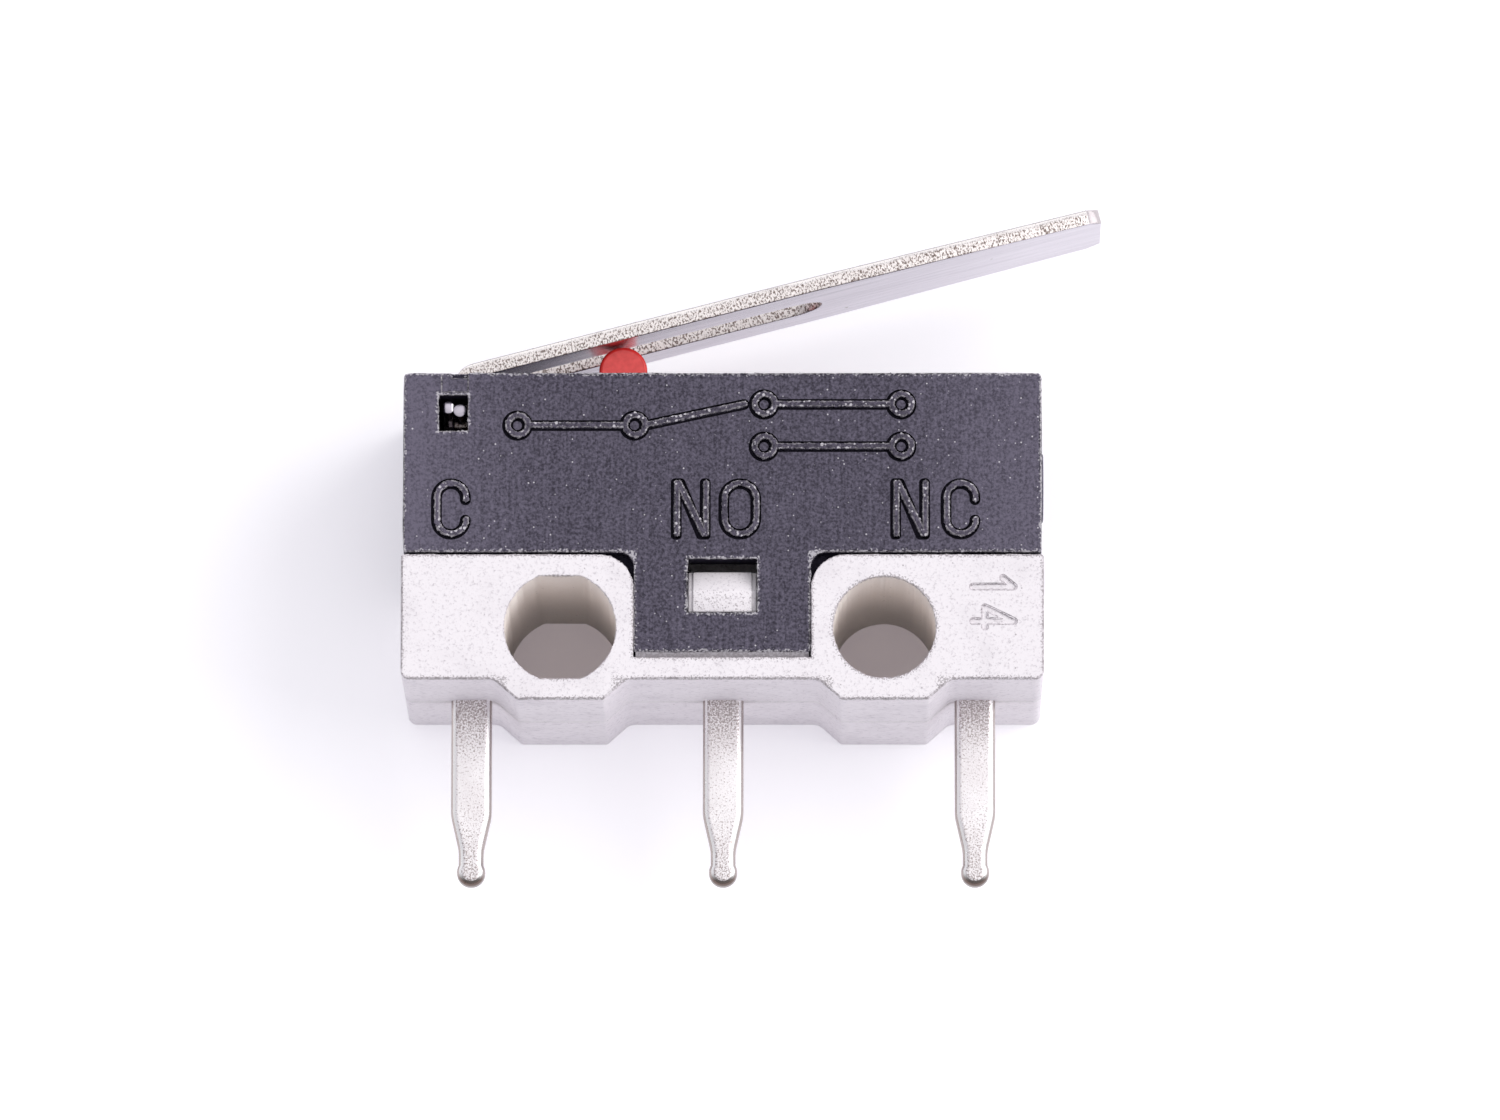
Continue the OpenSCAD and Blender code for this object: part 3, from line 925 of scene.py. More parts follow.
@dataclass(frozen=True)
class PlatedFace(Finish):
    """Matte silvery plating, pitted by the stamping tool."""

    silver: Colour = (0.965, 0.94, 0.95)
    dull: Colour = (0.89, 0.855, 0.865)
    pit: Colour = (0.38, 0.325, 0.315)
    # Height where the pits are sparsest, the height towards the case where denser pits paint the case's shade
    # on the pin, and the height towards the tip where they grow dense as well
    clean_y: float = -2.7
    case_shade_y: float = -1.1
    tip_y: float = -4.8

    def paint(self, sheet: Sheet) -> dict[str, Any]:
        """Fine dark pits over a mottled satin metal, denser at the tip, and near the case where they paint
        its shade.

        Args:
            sheet: Sheet of the material.

        Returns:
            Values and wires for the surface's sockets.
        """
        place = sheet.place()
        _, y, _ = sheet.axes(place)
        grit = sheet.noise(place, scale=27, detail=3, roughness=0.7)
        cloud = sheet.noise(place, scale=1.3)
        colour = sheet.mix(cloud.rise(0.35, 0.7), self.silver, self.dull)
        # Denser pits near the case paint the case's shade on the pin.
        pits_and_shade = y.rise(self.clean_y, self.case_shade_y) * 0.13 + y.rise(self.clean_y, self.tip_y) * 0.1 + 0.02
        return {
            "Base Color": sheet.mix((grit + pits_and_shade).rise(0.56, 0.72), colour, self.pit),
            "Metallic": 1.0,
            "Roughness": 0.3 + cloud * 0.14,
            "Normal": sheet.bump(grit, depth=0.005),
        }


@dataclass(frozen=True)
class PlatedEdge(Finish):
    """Bright rounded edge of a plated terminal, with bare copper showing in its scuffs."""

    silver: Colour = (0.98, 0.97, 0.965)
    # Bare copper, darkened far below its own tone: painted shade under the tip.
    copper: Colour = (0.10, 0.07, 0.055)
    metallic: float = 0.7
    # Height where the copper begins to show, and how far below it is bare
    bare_height: float = -4.56
    bare_span: float = 0.18

    def paint(self, sheet: Sheet) -> dict[str, Any]:
        """Smooth plating that has worn through round the tip, where the bare copper is darkened as painted
        shade.

        Args:
            sheet: Sheet of the material.

        Returns:
            Values and wires for the surface's sockets.
        """
        place = sheet.place()
        _, y, _ = sheet.axes(place)
        grit = sheet.noise(place, scale=6, detail=3)
        worn = y.rise(self.bare_height, self.bare_height - self.bare_span)
        bare = worn * 0.92 + grit.rise(0.62, 0.72) * 0.15
        return {
            "Base Color": sheet.mix(bare.clamped(), self.silver, self.copper),
            "Metallic": self.metallic,
            "Roughness": 0.2 + grit * 0.12,
            "Normal": sheet.bump(grit, depth=0.003),
        }


@dataclass(frozen=True)
class DrawnMetal(Finish):
    """Drawn or rolled metal inside the case, with fine lines along X."""

    light: Colour = (0.85, 0.83, 0.79)
    dark: Colour = (0.66, 0.63, 0.58)

    def paint(self, sheet: Sheet) -> dict[str, Any]:
        """Fine lines and a satin surface.

        Args:
            sheet: Sheet of the material.

        Returns:
            Values and wires for the surface's sockets.
        """
        lines = sheet.noise(sheet.place(stretch=(0.5, 8, 8)), scale=1.5, detail=3)
        return {
            "Base Color": sheet.mix(lines.rise(0.3, 0.75), self.light, self.dark),
            "Metallic": 1.0,
            "Roughness": 0.25 + lines * 0.2,
            "Normal": sheet.bump(lines, depth=0.003),
        }


@dataclass
class Piece:
    """One piece of the switch, which stands for a node of the frame."""

    node: ClassVar[str] = ""
    body: ClassVar[Body] = Body.CASE
    slot: ClassVar[Slot] = Slot.WHITE
    # Names of the piece's finishes, the commonest first
    finishes: ClassVar[tuple[str, ...]] = ()

    def build(self) -> bpy.types.Object:
        """Models the piece in millimetres."""
        raise NotImplementedError

    def finish_of(self, spot: Vector, normal: Vector) -> str:
        """Name of the finish on one face.

        Args:
            spot: The face's middle, in millimetres.
            normal: Its direction.

        Returns:
            One of the piece's finishes.
        """
        return self.finishes[0]

    def dress(self, piece: bpy.types.Object, materials: Materials) -> None:
        """Gives the piece its materials, and each face its own.

        Args:
            piece: The modelled piece, in metres.
            materials: All materials by name.
        """
        for name in self.finishes:
            piece.data.materials.append(materials[name])
        for face in piece.data.polygons:
            name = self.finish_of(face.center / MILLIMETRE, face.normal)
            face.material_index = self.finishes.index(name)

    def make(self, materials: Materials, cad_box: tuple[Vector, Vector]) -> bpy.types.Object:
        """Models, dresses and places the piece.

        Args:
            materials: All materials by name.
            cad_box: Lowest and highest corner of the whole frame, in metres.

        Returns:
            The finished piece.
        """
        piece = self.build()
        low, high = (Vector(corner) / MILLIMETRE for corner in cad_box)
        Bench.hold(piece, low, high)
        Bench.to_metres(piece)
        piece.name = f"{self.node}_dressed"
        self.dress(piece, materials)
        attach(piece, self.body.value)
        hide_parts(self.node)
        LOG.info("%s: %d faces", piece.name, len(piece.data.polygons))
        return piece


@dataclass
class Mark:
    """Outline of one mark, with the outline of its opening and how far its top stays down."""

    outer: list[Point]
    inner: list[Point] = field(default_factory=list)
    drop: float = 0.0

    def form(self, low: float, high: float) -> bpy.types.Object:
        """Draws the mark out between two heights.

        Args:
            low: Height of its foot.
            high: Height of its top.

        Returns:
            The closed form.
        """
        made = Bench.prism("mark", self.outer, low, high)
        if self.inner:
            Bench.cut(made, Bench.prism("opening", self.inner, low - PAST, high + PAST))
        return made


@dataclass
class Marks:
    """Raised terminal marks and a changeover symbol on the cover's front, each in a narrow moat."""

    stroke: float = 0.12
    height: float = 1.15
    letter_width: float = 0.7
    round_width: float = 0.76
    row_y: float = 2.42
    common_x: float = -5.43
    open_x: Point = (-0.62, 0.365)
    closed_x: Point = (3.78, 4.79)
    symbol_y: float = 4.12
    symbol_left: float = -4.3
    symbol_right: float = 3.8
    symbol_rise: float = 0.43
    # Places of the arm's hinge and of the rings that it can meet, from the symbol's middle
    hinge_shift: float = -1.5
    meet_shift: float = 1.1
    ring_radius: float = 0.2
    cap_steps: int = 8
    edge: float = 0.03
    fray_reach: float = 0.022
    moat: float = 0.05
    moat_depth: float = 0.14
    # The moats are wider on the side that lies away from the light
    moat_shift: Point = (-0.016, -0.012)

    def _stroke(self, path: Sequence[Point], grow: float, drop: float = 0.0) -> Mark:
        """One stroke with round ends."""
        return Mark(Outline.ribbon(path, self.stroke + 2 * grow, self.cap_steps), drop=drop)

    def _loop(self, centre: Point, reach: Point, grow: float) -> Mark:
        """Closed loop with upright sides and round ends, about its middle line's half sizes.

        Args:
            centre: Middle of the loop.
            reach: Half width and half height of its middle line.
            grow: How far the strokes are grown on each side.

        Returns:
            The loop.
        """
        rims: list[list[Point]] = []
        side = reach[1] - reach[0]
        for away in (self.stroke / 2 + grow, -self.stroke / 2 - grow):
            rim = Outline.arc((centre[0], centre[1] + side), reach[0] + away, 0, 180)
            rim += Outline.arc((centre[0], centre[1] - side), reach[0] + away, 180, 360)
            rims.append(rim if side > 0 else Outline.circle(centre, reach[0] + away, 40))
        return Mark(rims[0], rims[1])

    def _letter_c(self, x: float, grow: float) -> Mark:
        """The letter C about a middle.

        Args:
            x: Middle of the letter.
            grow: How far the strokes are grown on each side.

        Returns:
            The letter.
        """
        radius = (self.letter_width - self.stroke) / 2
        side = (self.height - self.stroke) / 2 - radius
        tuck = 0.04
        path = [(x + radius, self.row_y + side - tuck)]
        path += Outline.arc((x, self.row_y + side), radius, 0, 180, 16)
        path += Outline.arc((x, self.row_y - side), radius, 180, 360, 16)
        return self._stroke(path, grow)

    def _letter_n(self, x: float, grow: float) -> Mark:
        """The letter N about a middle.

        Args:
            x: Middle of the letter.
            grow: How far the strokes are grown on each side.

        Returns:
            The letter.
        """
        half, reach = self.letter_width / 2 + grow, self.height / 2 + grow
        stem = self.stroke + 2 * grow
        # Where the slanting stroke leaves the stem's top, and where it meets the other stem's side
        top, side = 1.2 * stem, 2.2 * stem
        turn = 0.4 * stem
        right: list[Corner] = [
            (half - stem, side - reach, 0),
            (half - stem, reach, turn),
            (half, reach, turn),
            (half, -reach, turn),
            (half - top, -reach, turn),
        ]
        left = [(-across, -up, radius) for across, up, radius in right]
        outline = Outline.rounded(right + left, self.cap_steps)
        return Mark([(x + across, self.row_y + up) for across, up in outline])

    def _letter_o(self, x: float, grow: float) -> Mark:
        """The letter O about a middle."""
        reach = ((self.round_width - self.stroke) / 2, (self.height - self.stroke) / 2)
        return self._loop((x, self.row_y), reach, grow)

    def _symbol(self, grow: float) -> list[Mark]:
        """Changeover symbol: one lead with a slanting arm, and two leads that it can meet.

        Args:
            grow: How far the strokes are grown on each side.

        Returns:
            Its rings and strokes.
        """
        y = self.symbol_y
        reach = self.ring_radius
        ring = (reach, reach)
        # The strokes stay a hair under the rings that they run into
        under = self.edge / 10
        middle = (self.symbol_left + self.symbol_right) / 2
        hinge = middle + self.hinge_shift
        meet = middle + self.meet_shift
        marks = [
            self._loop((self.symbol_left + reach, y), ring, grow),
            self._stroke([(self.symbol_left + 2 * reach, y), (hinge - reach, y)], grow, under),
            self._loop((hinge, y), ring, grow),
            self._stroke([(hinge + reach, y), (meet - 2 * reach, y + self.symbol_rise)], grow, under),
        ]
        for side in (self.symbol_rise, -self.symbol_rise):
            lead = [(meet + reach, y + side), (self.symbol_right - 2 * reach, y + side)]
            marks += [
                self._loop((meet, y + side), ring, grow),
                self._stroke(lead, grow, under),
                self._loop((self.symbol_right - reach, y + side), ring, grow),
            ]
        return marks

    def _all(self, grow: float) -> list[Mark]:
        """Every mark, with its strokes grown on both sides.

        Args:
            grow: How far the strokes are grown on each side.

        Returns:
            The letters, then the symbol.
        """
        letters = [
            self._letter_c(self.common_x, grow),
            self._letter_n(self.open_x[0], grow),
            self._letter_o(self.open_x[1], grow),
            self._letter_n(self.closed_x[0], grow),
            self._letter_c(self.closed_x[1], grow),
        ]
        return letters + self._symbol(grow)

    def moats(self, face: float) -> list[bpy.types.Object]:
        """Cutters for the moats in the face that carries the marks.

        Args:
            face: Height of that face.

        Returns:
            One cutter for each mark.
        """
        shift = Matrix.Translation((*self.moat_shift, 0))
        forms = [mark.form(face - self.moat_depth, face + PAST) for mark in self._all(self.moat)]
        return [Bench.turned(form, shift) for form in forms]

    def forms(self, face: float, top: float) -> list[bpy.types.Object]:
        """Raised marks with rounded tops.

        Args:
            face: Height of the face that carries the marks.
            top: Height of their tops.

        Returns:
            One closed form for each mark.
        """
        made: list[bpy.types.Object] = []
        for mark in self._all(0):
            form = mark.form(face - 2 * self.moat_depth, top - mark.drop)
            Bench.round_rims(form, self.edge, 2, (top - mark.drop,))
            Bench.fray(form, top - 1.5 * self.edge, top - FRAY_CLEAR, self.fray_reach)
            made.append(form)
        return made


@dataclass
class Cover(Piece):
    """Black cover with a latched tab on each face, and openings for lever and plunger."""

    node: ClassVar[str] = "cover"
    slot: ClassVar[Slot] = Slot.BLACK
    finishes: ClassVar[tuple[str, ...]] = (
        "black_spark_plastic",
        "black_worn_edge",
        "black_mark_rim_dust_and_highlight",
        "black_dusty_mark",
        "black_wall_painted_shade",
        "black_lip_painted_reflection",
    )

    end: float = 6.4
    skirt: float = 1.54
    top: float = 5.18
    corner: float = 0.09
    back: float = 0.05
    front: float = 5.75
    marks_top: float = 5.8
    wall: float = 0.75
    cavity_end: float = 5.8
    roof: float = 4.46
    middle: float = 2.9
    edge: float = 0.034
    opening_edge: float = 0.018
    fray_reach: float = 0.026
    tab_half: float = 1.77
    tab_bottom: float = -0.49
    tab_fillet: float = 0.3
    window_half: float = 0.7
    window_low: float = 0.3
    window_high: float = 1.4
    ear_hole: Box = (-5.70, -5.11, 4.005, 4.745)
    # Witness line of the mould's core over the front ear hole: inset from its left, height over it, depth
    witness: Corner = (0.06, 0.05, 0.02)
    # Notch in the top rim over it: inset from the witness line's left, height, depth
    notch: Corner = (0.2, 0.1, 0.09)
    leg_slot: Point = (-5.513, -4.903)
    leg_slot_half: float = 1.68
    guide_x: float = -2.02
    guide_half: Point = (0.537, 1.15)
    gate_y: float = 3.33
    gate_radius: float = 0.72
    gate_reach: float = 0.07
    shoulder_turn: Corner = (2.48, 0.78, 0.73)
    web: Point = (5.03, 5.32)
    lip: Point = (0.115, 0.1)
    marks: Marks = field(default_factory=Marks)

    def _shell(self) -> bpy.types.Object:
        """Outer form with rounded rims, hollowed from below.

        Returns:
            The closed form, in millimetres.
        """
        half = self.tab_half
        right: list[Corner] = [
            (half, self.tab_bottom, CORNER_RATIO * self.edge),
            (half, self.skirt, self.tab_fillet),
            (self.end, self.skirt, CORNER_RATIO * self.edge),
            (self.end, self.top, self.corner),
        ]
        left = [(-x, y, radius) for x, y, radius in reversed(right)]
        shell = Bench.prism("cover", Outline.rounded(right + left), self.back, self.front)
        Bench.round_rims(shell, self.edge, 3, (self.back, self.front))
        depth = 2 * self.middle
        cavity = Bench.block(
            "cavity",
            (-self.cavity_end, self.tab_bottom - PAST, self.wall),
            (self.cavity_end, self.roof, depth - self.wall),
        )
        Bench.cut(shell, cavity)
        return shell

    def _openings(self) -> list[bpy.types.Object]:
        """Cutters for the windows, ear holes, leg's slot, plunger's guide and marks of the mould's core.

        Returns:
            One cutter for each opening.
        """
        depth = 2 * self.middle
        left, right, low, high = self.ear_hole
        window = Outline.box(-self.window_half, self.window_half, self.window_low, self.window_high)
        slot_low = self.middle - self.leg_slot_half
        guide = self.guide_half
        witness_left = left + self.witness[0]
        return [
            Bench.prism("front_window", window, depth - self.wall - SUNK, depth + PAST),
            Bench.prism("back_window", window, -PAST, self.wall + SUNK),
            Bench.block("ear_hole", (left, low, -PAST), (right, high, depth + PAST)),
            Bench.block(
                "leg_slot",
                (self.leg_slot[0], self.roof - SUNK, slot_low),
                (self.leg_slot[1], self.top + PAST, depth - slot_low),
            ),
            Bench.block(
                "guide",
                (self.guide_x - guide[0], self.roof - SUNK, self.middle - guide[1]),
                (self.guide_x + guide[0], self.top + PAST, self.middle + guide[1]),
            ),
            Bench.block(
                "core_witness",
                (witness_left, high + self.witness[1], self.front - self.witness[2]),
                (right, self.top + PAST, self.front + PAST),
            ),
            Bench.block(
                "core_notch",
                (witness_left + self.notch[0], self.top - self.notch[1], self.front - self.notch[2]),
                (right, self.top + PAST, self.front + PAST),
            ),
        ]

    def _gate(self) -> bpy.types.Object:
        """Low domed mark of the moulding gate on the right end.

        Returns:
            The closed form, in millimetres.
        """
        pad = Bench.prism("gate", Outline.circle((0, 0), self.gate_radius), -SUNK, self.gate_reach)
        dome = 0.9 * self.gate_reach
        Bench.round_rims(pad, dome, 3, (self.gate_reach,))
        across = Matrix(((0, 0, 1, self.end), (1, 0, 0, self.gate_y), (0, 1, 0, self.middle), (0, 0, 0, 1)))
        return Bench.turned(pad, across)

    def _webs(self) -> list[bpy.types.Object]:
        """Low webs in the corners between tab and skirt, which close the view past the base's shoulders with
        dark forms that stand in for the shade there.

        Returns:
            The right web and the left one.
        """
        x, y, radius = self.shoulder_turn
        root = self.tab_half - SUNK
        outline = [(root, y), *Outline.arc((x, y), radius, 180, 90, 16)]
        outline += [(x, self.skirt + SUNK), (root, self.skirt + SUNK)]
        web = Bench.prism("web", outline, *self.web)
        return [web, Bench.copied(web, Matrix.Scale(-1, 4, (1, 0, 0)))]

    def _lip(self) -> bpy.types.Object:
        """Sloping lip along the front tab's lower edge, which leads it over the latch.

        Returns:
            The closed form, in millimetres.
        """
        reach, fall = self.lip
        top, low = self.front - self.edge, self.web[0]
        root, foot = self.tab_bottom + SUNK, self.tab_bottom - reach
        profile = [(root, low), (foot, low), (foot, top - fall), (self.tab_bottom, top), (root, top)]
        half = self.tab_half - self.edge
        return Bench.turned(Bench.prism("lip", profile, -half, half), ALONG_X)

    def build(self) -> bpy.types.Object:
        """Shell, openings, worn rims, gate mark, webs, lip and raised marks.

        Returns:
            The closed form, in millimetres.
        """
        shell = self._shell()
        Bench.cut(shell, *self._openings())
        Bench.soften(shell, self.opening_edge)
        Bench.cut(shell, *self.marks.moats(self.front))
        Bench.fray(shell, self.front - self.edge + FRAY_CLEAR, self.front - FRAY_CLEAR, self.fray_reach)
        marks = self.marks.forms(self.front, self.marks_top)
        Bench.join(shell, self._gate(), *self._webs(), self._lip(), *marks)
        return shell

    def finish_of(self, spot: Vector, normal: Vector) -> str:
        """Spark texture outside, worn rims, dusty marks with a painted highlight on their rims, a painted
        reflection on the lip, and painted shade on the walls in the openings.

        Args:
            spot: The face's middle, in millimetres.
            normal: Its direction.

        Returns:
            The finish's name.
        """
        near = 0.02
        level = normal.z > 0.95
        upright = abs(normal.z) < 0.3
        in_box = abs(spot.x) < self.end - near and self.skirt + near < spot.y < self.top - near
        in_tab = abs(spot.x) < self.tab_half - near and self.tab_bottom + near < spot.y
        under_skirt = normal.y < -0.7 and spot.y < self.skirt + near
        # The lip under the tab takes a grey black: a painted reflection of the white ledge below it.
        if spot.y < self.tab_bottom - near and normal.z > 0.3:
            return "black_lip_painted_reflection"
        # Rims of the front are pale and worn; the marks' rims are paler still, with dust specks under a
        # painted highlight.
        if spot.z > self.front - self.edge and 0.15 < normal.z < 0.95:
            return "black_worn_edge" if spot.z < self.front + near / 2 else "black_mark_rim_dust_and_highlight"
        if spot.z > self.front + near and level:
            return "black_dusty_mark"
        # Walls in the openings and moats, and the deep level faces below the front, take a darker, duller
        # black: painted shade.
        if upright and spot.z < self.front and (in_box or in_tab or under_skirt):
            return "black_wall_painted_shade"
        if self.web[0] - near < spot.z < self.front - 2 * near and level:
            return "black_wall_painted_shade"
        return "black_spark_plastic"


@dataclass
class Base(Piece):
    """White base with two mounting holes, two feet and a latch on each face."""

    node: ClassVar[str] = "base"
    slot: ClassVar[Slot] = Slot.WHITE
    finishes: ClassVar[tuple[str, ...]] = (
        "white_matte_plastic",
        "white_rough_rim_and_border_shade",
        "white_bore_wall_painted_light",
        "white_streaked_side_painted_light",
    )

    end: float = 6.44
    thickness: float = 5.8
    bottom: float = -1.05
    corner: float = 0.18
    shoulder: float = 1.48
    foot_bottom: float = -1.46
    foot_half: float = 0.87
    foot_root_half: float = 1.33
    foot_fillet: float = 0.3
    foot_corner: float = 0.12
    # Width and depth of the mould's parting line
    parting: Point = (0.08, 0.04)
    hole_x: float = 3.25
    hole_radius: float = 1.03
    wide_hole_radius: float = 1.12
    wide_hole_half: float = 1.04
    recess_half: float = 1.78
    recess_low: float = -0.61
    recess_floor: float = 5.01
    shoulder_radius: float = 0.7
    platform_end: float = 5.75
    platform_top: float = 1.75
    platform_inset: float = 0.8
    latch_half: float = 0.6
    latch_low: float = 0.33
    latch_land: float = 0.42
    latch_ramp: float = 0.44
    latch_height: float = 0.64
    latch_nose: float = 0.36
    # How far the latch's flanks reach past its face on each side, and how much lower they are
    latch_flank: Point = (0.09, 0.06)
    latch_edge: float = 0.035
    pocket_half: float = 0.7
    pocket_depth: float = 1.75
    edge: float = 0.04
    opening_edge: float = 0.022
    fray_reach: float = 0.018
    # Place of the number's foot along the case, and the heights where its two digits begin
    digit_foot: float = 5.0
    digit_starts: Point = (1.02, 0.42)
    # Width and depth of the number's strokes, and width and depth of the border on each side of them, which
    # is darkened as painted shade
    digit_stroke: float = 0.1
    digit_depth: float = 0.05
    digit_border: Point = (0.03, 0.015)

    def _body(self) -> bpy.types.Object:
        """Outer form with feet, rounded rims and the parting line of the mould.

        Returns:
            The closed form, in millimetres.
        """
        corners: list[Corner] = [(-self.end, self.bottom, self.corner)]
        for x in (-self.hole_x, self.hole_x):
            corners += [
                (x - self.foot_root_half, self.bottom, self.foot_fillet),
                (x - self.foot_half, self.foot_bottom, self.foot_corner),
                (x + self.foot_half, self.foot_bottom, self.foot_corner),
                (x + self.foot_root_half, self.bottom, self.foot_fillet),
            ]
        corners += [
            (self.end, self.bottom, self.corner),
            (self.end, self.shoulder, CORNER_RATIO * self.edge),
            (-self.end, self.shoulder, CORNER_RATIO * self.edge),
        ]
        body = Bench.prism("base", Outline.rounded(corners), 0, self.thickness)
        Bench.round_rims(body, self.edge, 3, (0, self.thickness))
        Bench.groove(body, self.thickness / 2, *self.parting)
        return body

    def _recess(self) -> bpy.types.Object:
        """Cutter for the front recess that takes the cover's tab, between round shoulders.

        Returns:
            The cutter.
        """
        half = self.recess_half
        radius = self.shoulder_radius
        turn_y = self.shoulder - radius
        outline = [(-half, self.recess_low), (half, self.recess_low)]
        outline += Outline.arc((half + radius, turn_y), radius, 180, 90, 16)
        outline += [(half + radius, self.shoulder + PAST), (-half - radius, self.shoulder + PAST)]
        outline += Outline.arc((-half - radius, turn_y), radius, 90, 0, 16)
        return Bench.prism("recess", outline, self.recess_floor, self.thickness + PAST)

    def _pocket(self) -> bpy.types.Object:
        """Cutter for the front pocket above the latch.

        Returns:
            The cutter.
        """
        low = self.latch_low + self.latch_land + self.latch_ramp
        return Bench.block(
            "pocket",
            (-self.pocket_half, low, self.recess_floor - self.pocket_depth),
            (self.pocket_half, self.platform_top + PAST, self.thickness + PAST),
        )

    def _latch(self) -> bpy.types.Object:
        """Front latch with a ramp, a land and a catch, between lower flanks.

        Returns:
            The closed form, in millimetres.
        """
        land = self.latch_low + self.latch_land
        ramp = land + self.latch_ramp
        low = self.recess_floor - SUNK
        wider, lower = self.latch_flank
        forms: list[bpy.types.Object] = []
        for half, drop in ((self.latch_half, 0.0), (self.latch_half + wider, lower)):
            top = self.recess_floor + self.latch_height - drop
            nose = self.recess_floor + self.latch_nose - drop
            profile = [(self.latch_low, low), (self.latch_low, top), (land, top), (ramp, nose), (ramp, low)]
            form = Bench.turned(Bench.prism("latch", profile, -half, half), ALONG_X)
            Bench.soften(form, self.latch_edge, steps=3, angle=25)
            forms.append(form)
        Bench.join(*forms)
        return forms[0]

    def _holes(self) -> list[bpy.types.Object]:
        """Cutters for the round hole and for the wide one, which has flats.

        Returns:
            The two cutters.
        """
        low, high = -PAST, self.thickness + PAST
        span = math.degrees(math.asin(self.wide_hole_half / self.wide_hole_radius))
        wide = Outline.arc((-self.hole_x, 0), self.wide_hole_radius, -span, span, 32)
        wide += Outline.arc((-self.hole_x, 0), self.wide_hole_radius, 180 - span, 180 + span, 32)
        return [
            Bench.prism("hole", Outline.circle((self.hole_x, 0), self.hole_radius), low, high),
            Bench.prism("wide_hole", wide, low, high),
        ]

    def _digits(self) -> list[bpy.types.Object]:
        """Cutters for a plain cavity number, read from the right end.

        Returns:
            One cutter for each stroke and its border.
        """
        one = [(0.02, 0.62), (0.2, 0.84), (0.2, 0.02)]
        four_mast = [(0.3, 0.02), (0.3, 0.84)]
        four_side = [(0.3, 0.84), (0.02, 0.26), (0.42, 0.26)]
        first, second = self.digit_starts
        strokes = [(one, first), (four_mast, second), (four_side, second)]
        grow, border_depth = self.digit_border
        cuts = ((self.digit_stroke + 2 * grow, border_depth), (self.digit_stroke, self.digit_depth))
        top = self.thickness + PAST
        cutters: list[bpy.types.Object] = []
        for width, depth in cuts:
            for path, start in strokes:
                # The number's upright runs along X and it is read downwards
                placed = [(self.digit_foot + up, start - across) for across, up in path]
                for ends in zip(placed, placed[1:]):
                    outline = Outline.ribbon(ends, width, cap_steps=6)
                    cutters.append(Bench.prism("digit", outline, self.thickness - depth, top))
        return cutters

    def build(self) -> bpy.types.Object:
        """Body, recesses, platform, latches, holes and number.

        Returns:
            The closed form, in millimetres.
        """
        body = self._body()
        middle = self.thickness / 2
        over = Matrix.Translation((0, 0, middle)) @ Matrix.Scale(-1, 4, (0, 0, 1))
        to_back = over @ Matrix.Translation((0, 0, -middle))
        recess = self._recess()
        back_recess = Bench.copied(recess, to_back)
        Bench.cut(body, recess, back_recess)
        Bench.cut(body, *self._holes())
        platform = Bench.block(
            "platform",
            (-self.platform_end, self.shoulder - SUNK, self.platform_inset),
            (self.platform_end, self.platform_top, self.thickness - self.platform_inset),
        )
        for form in (body, platform):
            pocket = self._pocket()
            back_pocket = Bench.copied(pocket, to_back)
            Bench.cut(form, pocket, back_pocket)
        Bench.soften(body, self.opening_edge)
        Bench.cut(body, *self._digits())
        rim_low, rim_high = self.thickness - self.edge + FRAY_CLEAR, self.thickness - FRAY_CLEAR
        Bench.fray(body, rim_low, rim_high, self.fray_reach)
        latch = self._latch()
        back_latch = Bench.copied(latch, to_back)
        Bench.join(body, platform, latch, back_latch)
        return body

    def finish_of(self, spot: Vector, normal: Vector) -> str:
        """Matte plastic; pitted rims, a number border darkened as painted shade, and bore and pin-side walls
        paled by painted light.

        Args:
            spot: The face's middle, in millimetres.
            normal: Its direction.

        Returns:
            The finish's name.
        """
        near = 0.01
        depth = self.thickness - spot.z
        on_rim = depth < self.edge and normal.z < 0.97
        # Rims are pitted and darker; the number's shallow border is darkened as painted shade.
        in_shaded_border = 0.5 * self.digit_border[1] < depth < 2 * self.digit_border[1]
        if on_rim or in_shaded_border:
            return "white_rough_rim_and_border_shade"
        if abs(normal.z) > 0.5:
            return "white_matte_plastic"
        # Bore walls are paler and warmer: painted light that stands in for light through the plastic.
        if math.hypot(abs(spot.x) - self.hole_x, spot.y) < self.wide_hole_radius + near:
            return "white_bore_wall_painted_light"
        # Sides towards the pins take a paler, lilac copy of the white: painted light and lilac shade, over
        # real streaks.
        return "white_streaked_side_painted_light" if spot.y < 0 else "white_matte_plastic"


